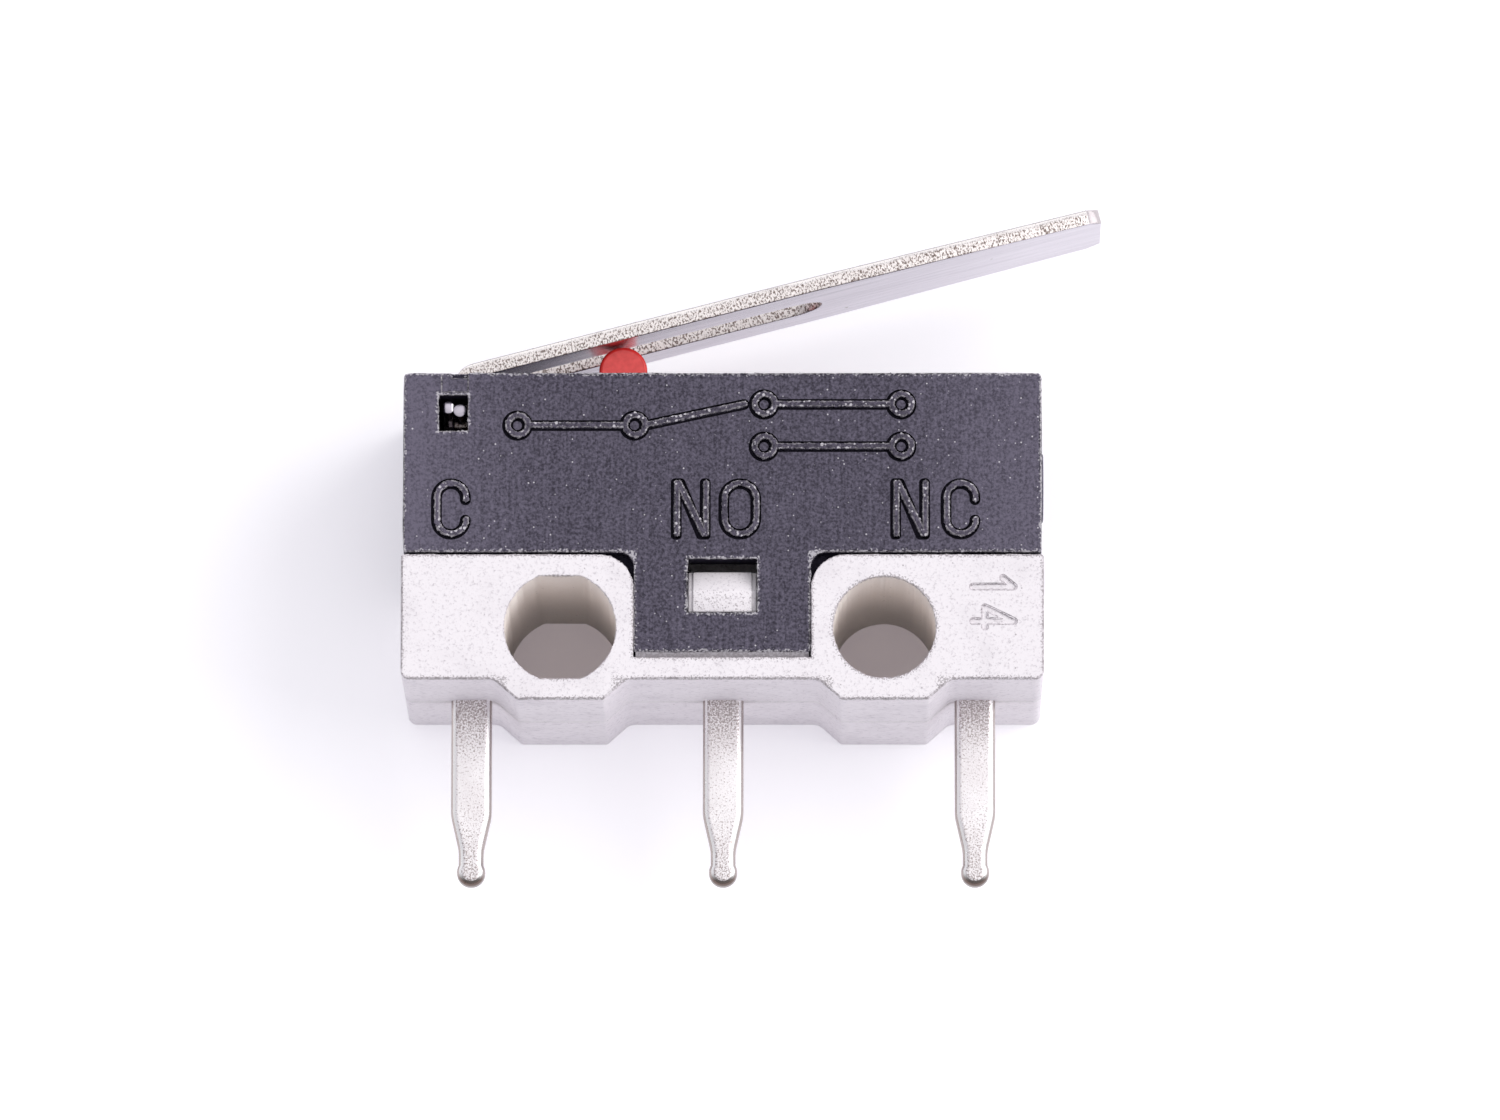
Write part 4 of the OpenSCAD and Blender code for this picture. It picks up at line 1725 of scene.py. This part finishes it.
@dataclass
class Lever(Piece):
    """Stamped lever: a leg with two ears, a bend, and a slotted arm that tapers to its tip."""

    node: ClassVar[str] = "lever"
    body: ClassVar[Body] = Body.LEVER
    slot: ClassVar[Slot] = Slot.SHEET
    finishes: ClassVar[tuple[str, ...]] = ("rolled_sheet", "sheared_edge", "cut_corner")

    pivot: Point = (-5.28, 4.48)
    middle: float = 2.9
    thickness: float = 0.3
    width: float = 3.2
    tip_width: float = 2.6
    length: float = 13.55
    slope: float = 14.5
    # Distance of the arm's underside from the pivot
    rise: float = 0.743
    bend_radius: float = 0.2
    tail: float = 0.2
    slot_near: float = 1.2
    slot_far: float = 7.7
    slot_width: float = 1.1
    chamfer: float = 0.25
    ear_radius: float = 0.14
    ear_low: float = 0.35
    ear_edge: float = 0.03
    # Burr beside each ear: its outline, its corners, and how far from the middle it begins
    burr: Box = (-5.61, -5.41, 4.41, 4.67)
    burr_corner: float = 0.08
    burr_start: float = 1.0
    edge: float = 0.028

    def _along(self) -> Vector:
        """Direction of the arm."""
        return Vector((math.cos(math.radians(self.slope)), math.sin(math.radians(self.slope))))

    def _up(self) -> Vector:
        """Direction through the arm, away from the case."""
        along = self._along()
        return Vector((-along.y, along.x))

    def _bend_centre(self) -> Vector:
        """Middle of the bend, measured from the pivot.

        Returns:
            The middle, in millimetres.
        """
        along = self._along()
        x = self.thickness / 2 + self.bend_radius
        return Vector((x, (self.rise - self.bend_radius + along.y * x) / along.x))

    def _profile(self) -> list[Point]:
        """Side view of leg, bend and arm.

        Returns:
            Points of the outline, in X and Y.
        """
        half = self.thickness / 2
        along, up, bend = self._along(), self._up(), self._bend_centre()
        upright = 90 + self.slope
        centre = (bend.x, bend.y)
        top_end = along * self.length + up * (self.rise + self.thickness)
        low_end = along * self.length + up * self.rise
        points = [(-half, -self.tail)]
        points += Outline.arc(centre, self.bend_radius + self.thickness, 180, upright, 12)
        points += [(top_end.x, top_end.y), (low_end.x, low_end.y)]
        points += Outline.arc(centre, self.bend_radius, upright, 180, 12)
        points.append((half, -self.tail))
        return [(x + self.pivot[0], y + self.pivot[1]) for x, y in points]

    def _cutters(self) -> list[bpy.types.Object]:
        """Cutters through the arm: the slot, and the taper with the tip's corner on each side.

        Returns:
            The slot's cutter, then one for each side.
        """
        root, tip, half = self.width / 2, self.tip_width / 2, self.slot_width / 2
        slot = Outline.arc((self.slot_far - half, 0), half, -90, 90, 24)
        slot += Outline.arc((self.slot_near + half, 0), half, 90, 270, 24)
        side = [
            (self.slot_far, root),
            (self.length - self.chamfer, tip),
            (self.length, tip - self.chamfer),
            (self.length + PAST, tip - self.chamfer),
            (self.length + PAST, root + PAST),
            (self.slot_far, root + PAST),
        ]
        other = [(u, -w) for u, w in reversed(side)]
        along, up = self._along(), self._up()
        # A cutter's own axes run along the arm, across it, and through it towards the case
        stand = Matrix((
            (along.x, 0, -up.x, self.pivot[0]),
            (along.y, 0, -up.y, self.pivot[1]),
            (0, 1, 0, self.middle),
            (0, 0, 0, 1),
        ))
        low, high = -(self.rise + self.thickness + PAST), PAST - self.rise
        forms = [Bench.prism("arm_cutter", plan, low, high) for plan in (slot, side, other)]
        return [Bench.turned(form, stand) for form in forms]

    def build(self) -> bpy.types.Object:
        """Folded sheet with its slot, taper, softened edges, ears and burrs.

        Returns:
            The closed form, in millimetres.
        """
        half = self.width / 2
        sheet = Bench.prism("lever", self._profile(), self.middle - half, self.middle + half)
        Bench.cut(sheet, *self._cutters())
        Bench.soften(sheet, self.edge)
        ear_high = 2 * self.middle - self.ear_low
        ears = Bench.prism("ears", Outline.circle(self.pivot, self.ear_radius, 40), self.ear_low, ear_high)
        Bench.round_rims(ears, self.ear_edge, 2, (self.ear_low, ear_high))
        Bench.weld(sheet, ears)
        outline = Outline.rounded([(x, y, self.burr_corner) for x, y in Outline.box(*self.burr)])
        inner_low, inner_high = self.middle - self.burr_start, self.middle + self.burr_start
        for start, end in ((self.ear_low, inner_low), (inner_high, ear_high)):
            burr = Bench.prism("burr", outline, start, end)
            Bench.round_rims(burr, self.ear_edge, 2, (start, end))
            Bench.join(sheet, burr)
        return sheet

    def finish_of(self, spot: Vector, normal: Vector) -> str:
        """Rolled faces and tip, sheared ones on every cut edge, and dull corners beside the tip.

        Args:
            spot: The face's middle, in millimetres.
            normal: Its direction.

        Returns:
            The finish's name.
        """
        up = self._up()
        through = abs(normal.x * up.x + normal.y * up.y)
        onward = normal.x * up.y - normal.y * up.x
        sideways = abs(normal.z) > 0.5
        if onward > 0.4:
            return "cut_corner" if sideways else "rolled_sheet"
        on_arm = spot.x > self.pivot[0] + self.slot_near / 2
        in_sheet = abs(spot.z - self.middle) < self.width / 2 + self.edge
        cut_face = through < 0.5 if on_arm else sideways and in_sheet
        return "sheared_edge" if cut_face else "rolled_sheet"


@dataclass
class Plunger(Piece):
    """Red plunger with a domed top, a flange under the roof and a round foot."""

    node: ClassVar[str] = "plunger"
    body: ClassVar[Body] = Body.PLUNGER
    slot: ClassVar[Slot] = Slot.RED
    finishes: ClassVar[tuple[str, ...]] = ("red_satin_plastic", "red_rim_painted_shade")

    x: float = -2.02
    middle: float = 2.9
    dome_y: float = 5.5565
    radius: float = 0.487
    depth: float = 2.2
    flange_low: float = 4.01
    flange_high: float = 4.41
    lip: float = 0.3
    foot_radius: float = 0.4
    heel: float = 3.53
    edge: float = 0.07

    def build(self) -> bpy.types.Object:
        """Dome, flange and foot in one.

        Returns:
            The closed form, in millimetres.
        """
        low, high = self.middle - self.depth / 2, self.middle + self.depth / 2
        seat = self.flange_high - SUNK
        dome = Outline.arc((self.x, self.dome_y), self.radius, 0, 180, 48)
        dome += [(self.x - self.radius, seat), (self.x + self.radius, seat)]
        made = Bench.prism("plunger", dome, low, high)
        Bench.round_rims(made, self.edge, 3, (low, high))
        flange = Bench.block(
            "flange",
            (self.x - self.radius - self.lip, self.flange_low, low - self.lip),
            (self.x + self.radius + self.lip, self.flange_high, high + self.lip),
        )
        Bench.soften(flange, self.edge, 3)
        foot_y = self.heel + self.foot_radius
        foot = Outline.arc((self.x, foot_y), self.foot_radius, 180, 360, 32)
        foot += [(self.x + side, self.flange_low + SUNK) for side in (self.foot_radius, -self.foot_radius)]
        stem = Bench.prism("foot", foot, low, high)
        Bench.round_rims(stem, self.edge, 3, (low, high))
        Bench.weld(made, flange, stem)
        return made

    def finish_of(self, spot: Vector, normal: Vector) -> str:
        """Red plastic, with painted shade in a deeper red on the rims."""
        return "red_rim_painted_shade" if 0.1 < abs(normal.z) < 0.97 else "red_satin_plastic"


@dataclass
class Terminal(Piece):
    """Stamped terminal: a pin with a round tip, and the plate that it grows from inside the case."""

    node: str = ""
    slot: ClassVar[Slot] = Slot.PLATED
    finishes: ClassVar[tuple[str, ...]] = ("plated_face", "plated_edge", "plated_side")

    x: float = 0.0
    plates: tuple[Box, ...] = ()
    notches: tuple[Box, ...] = ()
    low: float = 2.65
    high: float = 3.15
    pin_half: float = 0.41
    pin_top: float = 1.45
    taper_y: float = -3.40
    neck_y: float = -4.11
    neck_half: float = 0.25
    flow_radius: float = 0.9
    tip_y: float = -4.83
    bulb: float = 0.285
    coined: float = 0.15

    def _pin_outline(self) -> list[Point]:
        """Front view of the pin, with flowing shoulders, a neck and a round tip.

        Returns:
            Points of the outline, in X and Y.
        """
        bulb_y = self.tip_y + self.bulb
        swing = math.degrees(math.asin(self.neck_half / self.bulb))
        side: list[Corner] = [
            (self.neck_half, self.neck_y, self.flow_radius),
            (self.pin_half, self.taper_y, self.flow_radius),
            (self.pin_half, self.pin_top, 0),
        ]
        outline = Outline.arc((0, bulb_y), self.bulb, 90 + swing, 450 - swing, 40)
        right = Outline.rounded([(outline[-1][0], outline[-1][1], 0), *side, (0, self.pin_top, 0)], 6)[:-1]
        left = [(-x, y) for x, y in reversed(right[1:])]
        return [(x + self.x, y) for x, y in outline + right[1:] + left]

    def build(self) -> bpy.types.Object:
        """Pin with coined edges, welded to its plate.

        Returns:
            The closed form, in millimetres.
        """
        pin = Bench.prism(self.node, self._pin_outline(), self.low, self.high)

        def outside(first: Vector, second: Vector) -> bool:
            """True for a rim of the pin below the case's shoulders."""
            level = abs(first.z - second.z) < LEVEL
            return level and min(first.y, second.y) < self.pin_top - SUNK

        Bench.round_edges(pin, self.coined, 4, outside)
        for left, right, bottom, top in self.plates:
            Bench.weld(pin, Bench.block("plate", (left, bottom, self.low), (right, top, self.high)))
        for left, right, bottom, top in self.notches:
            notch = Bench.block("notch", (left, bottom, self.low - PAST), (right, top, self.high + PAST))
            Bench.cut(pin, notch)
        return pin

    def finish_of(self, spot: Vector, normal: Vector) -> str:
        """Pitted faces between bright coined edges, and dull cut sides.

        Args:
            spot: The face's middle, in millimetres.
            normal: Its direction.

        Returns:
            The finish's name.
        """
        tilt = abs(normal.z)
        if tilt < 0.6:
            return "plated_side"
        return "plated_edge" if tilt < 0.93 else "plated_face"


@dataclass
class SnapBlade(Piece):
    """Leaf spring with two arched rails and a bowed tongue between them."""

    node: ClassVar[str] = "snap_blade"
    body: ClassVar[Body] = Body.BLADE
    slot: ClassVar[Slot] = Slot.COPPER
    finishes: ClassVar[tuple[str, ...]] = ("copper_strip",)

    left: float = -5.12
    right: float = 4.35
    flat: float = 3.15
    level: float = 2.75
    crest_x: float = -2.02
    crest_rise: float = 0.68
    thickness: float = 0.1
    middle: float = 2.9
    width: float = 2.6
    gap_left: float = -4.57
    gap_half: float = 0.55
    tongue_half: float = 0.45
    tongue_root: float = 2.4
    tongue_seat: float = -2.59
    tongue_sag: float = 0.35
    rivet: tuple[float, float, float] = (3.35, 4.25, 0.3)
    # Part of its arch that is left when the plunger is pressed
    pressed_keep: float = 0.05

    def _arch(self, x: float) -> float:
        """Height of the rails' middle line.

        Args:
            x: Place along the blade.

        Returns:
            The height.
        """
        reach = self.crest_x - self.left if x < self.crest_x else self.flat - self.crest_x
        radius = (reach ** 2 + self.crest_rise ** 2) / (2 * self.crest_rise)
        away = min(abs(x - self.crest_x), reach)
        return self.level + self.crest_rise - radius + math.sqrt(radius ** 2 - away ** 2)

    def _rails(self) -> bpy.types.Object:
        """Arched strip with an opening for the tongue.

        Returns:
            The closed form, in millimetres.
        """
        steps = 48
        xs = [self.left + (self.flat - self.left) * step / steps for step in range(steps + 1)]
        path = [(x, self._arch(x)) for x in xs] + [(self.right, self.level)]
        low, high = self.middle - self.width / 2, self.middle + self.width / 2
        rails = Bench.prism("snap_blade", Outline.ribbon(path, self.thickness), low, high)
        gap = Bench.block(
            "gap",
            (self.gap_left, self.level - PAST, self.middle - self.gap_half),
            (self.tongue_root, self.level + PAST, self.middle + self.gap_half),
        )
        Bench.cut(rails, gap)
        return rails

    def _tongue(self) -> bpy.types.Object:
        """Bowed strip from its root on the rails to its seat.

        Returns:
            The closed form, in millimetres.
        """
        root = Vector((self.tongue_root + SUNK, self._arch(self.tongue_root)))
        seat = Vector((self.tongue_seat, self.level))
        chord = root - seat
        across = Vector((-chord.y, chord.x)).normalized()
        steps = 24
        path: list[Point] = []
        for step in range(steps + 1):
            share = step / steps
            spot = seat + chord * share - across * self.tongue_sag * 4 * share * (1 - share)
            path.append((spot.x, spot.y))
        low, high = self.middle - self.tongue_half, self.middle + self.tongue_half
        return Bench.prism("tongue", Outline.ribbon(path, self.thickness), low, high)

    def build(self) -> bpy.types.Object:
        """Rails and tongue, with a hole for the moving contact.

        Returns:
            The closed form, in millimetres.
        """
        rails = self._rails()
        Bench.weld(rails, self._tongue())
        left, right, radius = self.rivet
        hole = Bench.prism("contact_hole", Outline.circle((0, 0), radius, 40), left, right)
        across = Matrix(((0, 0, 1, 0), (1, 0, 0, self.level), (0, 1, 0, self.middle), (0, 0, 0, 1)))
        Bench.cut(rails, Bench.turned(hole, across))
        return rails

    def dress(self, piece: bpy.types.Object, materials: Materials) -> None:
        """One copper strip, on a mesh of its own.

        Args:
            piece: The modelled piece, in metres.
            materials: All materials by name.
        """
        super().dress(piece, materials)
        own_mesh(piece)


@dataclass
class Contacts:
    """Silver contacts, which keep their own frame nodes and get a new finish."""

    nodes: tuple[str, ...] = ("no_contact", "nc_contact", "moving_contact")

    def dress(self, materials: Materials) -> None:
        """Puts the silver finish on each contact's node.

        Args:
            materials: All materials by name.
        """
        for name in self.nodes:
            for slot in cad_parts[name].material_slots:
                slot.material = materials["drawn_silver"]
            LOG.info("%s: dressed as it is", name)


@dataclass
class Studio:
    """White table, soft daylight and the camera, at the photograph's angle."""

    # Point that the camera looks at and its distance, in millimetres
    aim: tuple[float, float, float] = (0.5376, 1.8532, 2.9579)
    distance: float = 300.0
    tilt: float = 9.8216
    pan: float = 0.3437
    roll: float = -0.0125
    focal_pixels: float = 14828.0
    image_width: float = 1500.0
    sensor: float = 36.0
    clip_start: float = 0.01
    table_size: float = 2.0
    table_white: Colour = (0.86, 0.86, 0.865)
    # Extra light with which the camera and bright metal see the table, and what is left of it under the case
    table_glow: Colour = (0.31, 0.30, 0.33)
    under_glow: Colour = (0.16, 0.13, 0.14)
    footprint: Box = (-6.4, 6.4, -1.0, 5.1)
    footprint_fade: float = 1.0
    zenith: Colour = (1.30, 1.28, 1.30)
    flank: Colour = (0.92, 0.91, 0.96)
    horizon: Colour = (1.05, 1.05, 1.08)
    # Heights of a direction between which the horizon gives way to the flanks, and these to the zenith
    flank_band: Point = (0.05, 0.45)
    zenith_band: Point = (0.85, 0.97)
    # Parts of the light that are missing on the left and on the pins' side, and how far round that reaches
    dim_sides: Point = (0.1, 0.38)
    dim_reach: float = 0.7
    sky_strength: float = 0.98
    sun_strength: float = 1.45
    sun_tint: Colour = (1.0, 0.985, 0.96)
    sun_angle: float = 45.0
    sun_turn: tuple[float, float, float] = (-10.0, 45.0, 0.0)

    def table(self) -> None:
        """Pale floor under the switch."""
        bpy.ops.object.select_all(action="DESELECT")
        bpy.ops.mesh.primitive_plane_add(size=self.table_size)
        floor = bpy.context.object
        floor.name = "table"
        paint = bpy.data.materials.new("table_white")
        paint.use_nodes = True
        sheet = Sheet(paint.node_tree)
        matte = sheet.wire(sheet.node("ShaderNodeBsdfDiffuse", None, {"Color": self.table_white}), "BSDF")
        x, y, _ = sheet.axes(sheet.place())
        under = sheet.box(x, y, *self.footprint).rise(0, -self.footprint_fade)
        tint = sheet.mix(under, self.table_glow, self.under_glow)
        path = sheet.node("ShaderNodeLightPath")
        rays = [sheet.wire(path, f"Is {kind} Ray") for kind in ("Camera", "Glossy", "Transmission")]
        seen = (rays[0] + rays[1] + rays[2]).clamped()
        emission = sheet.node("ShaderNodeEmission", None, {"Color": tint, "Strength": seen})
        glow = sheet.wire(emission, "Emission")
        surface = sheet.wire(sheet.node("ShaderNodeAddShader", None, {0: matte, 1: glow}), "Shader")
        sheet.node("ShaderNodeOutputMaterial", None, {"Surface": surface})
        floor.data.materials.append(paint)
        floor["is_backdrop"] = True

    def sky(self) -> None:
        """Soft light from all round, brightest overhead."""
        world = bpy.data.worlds.new("soft_studio")
        bpy.context.scene.world = world
        world.use_nodes = True
        sheet = Sheet(world.node_tree)
        spot = sheet.wire(sheet.node("ShaderNodeTexCoord"), "Generated")
        east, north, up = sheet.axes(spot)
        lower = sheet.mix(up.rise(*self.flank_band), self.horizon, self.flank)
        colour = sheet.mix(up.rise(*self.zenith_band), lower, self.zenith)
        west, south = (side.rise(self.dim_reach, -self.dim_reach) for side in (east, north))
        dim = west * self.dim_sides[0] + south * self.dim_sides[1]
        colour = sheet.mix(dim, colour, (0, 0, 0))
        light = sheet.node("ShaderNodeBackground", None, {"Color": colour, "Strength": self.sky_strength})
        sheet.node("ShaderNodeOutputWorld", None, {"Surface": sheet.wire(light, "Background")})

    def sun(self) -> None:
        """Broad key light from above on the right."""
        bpy.ops.object.light_add(type="SUN")
        lamp = bpy.context.object
        lamp.name = "key_light"
        lamp.data.energy = self.sun_strength
        lamp.data.angle = math.radians(self.sun_angle)
        lamp.data.color = self.sun_tint
        lamp.rotation_euler = [math.radians(turn) for turn in self.sun_turn]

    def camera(self) -> None:
        """Camera that looks down at the front face, a little from the pins' side."""
        bpy.ops.object.camera_add()
        camera = bpy.context.object
        camera.rotation_mode = "ZYX"
        camera.rotation_euler = [math.radians(turn) for turn in (self.tilt, self.pan, self.roll)]
        back = camera.rotation_euler.to_matrix() @ Vector((0, 0, self.distance))
        camera.location = (Vector(self.aim) + back) * MILLIMETRE
        camera.data.sensor_width = self.sensor
        camera.data.lens = self.focal_pixels * self.sensor / self.image_width
        camera.data.clip_start = self.clip_start
        bpy.context.scene.camera = camera

    def build(self) -> None:
        """Sets up the whole studio."""
        self.table()
        self.sky()
        self.sun()
        self.camera()
        bpy.context.scene.view_settings.view_transform = "Standard"


def make_materials() -> Materials:
    """Makes every material of the switch, by name.

    Returns:
        The materials.
    """
    finishes: list[Finish] = [
        SparkPlastic("black_spark_plastic"),
        SparkPlastic(
            "black_worn_edge",
            light=(0.34, 0.32, 0.35),
            dust_share=0.95,
            dust_size=0.3,
            dust_scale=14,
        ),
        # Dust specks on the marks' rims, lightened further as a painted highlight.
        SparkPlastic(
            "black_mark_rim_dust_and_highlight",
            light=(0.36, 0.34, 0.37),
            dust_share=0.95,
            dust_size=0.55,
            dust_scale=12,
        ),
        SparkPlastic(
            "black_dusty_mark",
            light=(0.12, 0.105, 0.15),
            dust_share=0.95,
            dust_size=0.42,
            dust_scale=12,
        ),
        # Darker and duller than the face: painted shade for the walls in the openings and moats.
        SparkPlastic(
            "black_wall_painted_shade",
            dark=(0.010, 0.008, 0.018),
            light=(0.03, 0.026, 0.045),
            dust_share=0.05,
            gloss=0.1,
        ),
        # Grey black plastic: a painted reflection of the white ledge under the lip.
        SparkPlastic(
            "black_lip_painted_reflection",
            dark=(0.36, 0.34, 0.36),
            light=(0.48, 0.455, 0.48),
            grain_depth=0.002,
            roughness=0.45,
        ),
        WhitePlastic("white_matte_plastic"),
        # Darker and pitted: rough specks along the rims, and painted shade in the border round the number's
        # strokes.
        WhitePlastic(
            "white_rough_rim_and_border_shade",
            pale=(0.80, 0.76, 0.80),
            shade=(0.33, 0.29, 0.31),
            pit_share=0.9,
            grain_low=0.36,
        ),
        # Paler and warmer than the front: painted light that stands in for light passing through the plastic
        # into the holes.
        WhitePlastic("white_bore_wall_painted_light", pale=(0.99, 0.935, 0.90), shade=(0.92, 0.84, 0.79)),
        # A lit copy of the white plastic for the sides facing the pins: painted light with a painted lilac
        # shade, over real streaks along X.
        WhitePlastic(
            "white_streaked_side_painted_light",
            pale=(0.945, 0.895, 0.955),
            shade=(0.50, 0.455, 0.52),
            stretch=(0.4, 1, 1),
        ),
        RedPlastic("red_satin_plastic"),
        # Deeper red on the rims: painted shade.
        RedPlastic("red_rim_painted_shade", bright=(0.82, 0.03, 0.025), deep=(0.68, 0.02, 0.02)),
        RolledSheet("rolled_sheet"),
        RolledSheet("cut_corner", metal=(0.60, 0.555, 0.575), worn=(0.52, 0.475, 0.495), metallic=0.2),
        ShearedEdge("sheared_edge"),
        PlatedFace("plated_face"),
        PlatedEdge("plated_edge"),
        PlatedEdge("plated_side", silver=(0.47, 0.415, 0.395), copper=(0.14, 0.10, 0.085), metallic=1.0),
        DrawnMetal("drawn_silver"),
        DrawnMetal("copper_strip", light=(0.74, 0.45, 0.26), dark=(0.58, 0.32, 0.17)),
    ]
    return {finish.name: finish.material() for finish in finishes}


def make_terminals() -> list[Terminal]:
    """The three terminals, with the plates that each has inside the case.

    Returns:
        The common, the normally open and the normally closed terminal.
    """
    # Heights of the arms and of the pins' roots, and places of the outer terminals' uprights
    arm_low, arm_high = 1.3, 1.9
    root_top = 1.45
    outer, inner = 5.55, 5.0
    # Inner side of an outer pin, and the post under the blade's tongue
    pin_side = 4.67
    post_left, post_right, post_top = -3.17, -2.62, 3.05
    return [
        Terminal(
            node="common_terminal",
            x=-5.08,
            plates=(
                (-outer, -pin_side, arm_low, root_top),
                (-outer, post_right, arm_low, arm_high),
                (post_left, post_right, arm_low, post_top),
                (-outer, -inner, arm_low, 3.35),
            ),
            notches=((-5.15, -inner + PAST, 2.6, 2.9),),
        ),
        Terminal(node="no_terminal", x=0.0, plates=((-0.41, 4.13, arm_low, arm_high),)),
        Terminal(
            node="nc_terminal",
            x=5.08,
            plates=(
                (pin_side, outer, arm_low, root_top),
                (inner, outer, arm_low, 3.85),
                (3.47, outer, 3.3, 3.85),
            ),
        ),
    ]


def main() -> None:
    """Builds the switch piece by piece, then the studio round it."""
    logging.basicConfig(level=logging.INFO)
    cad_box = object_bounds()
    materials = make_materials()
    pieces: list[Piece] = [Base(), Cover(), Plunger(), Lever(), *make_terminals(), SnapBlade()]
    for piece in pieces:
        piece.make(materials, cad_box)
    Contacts().dress(materials)
    Studio().build()


if __name__ == "__main__":
    main()
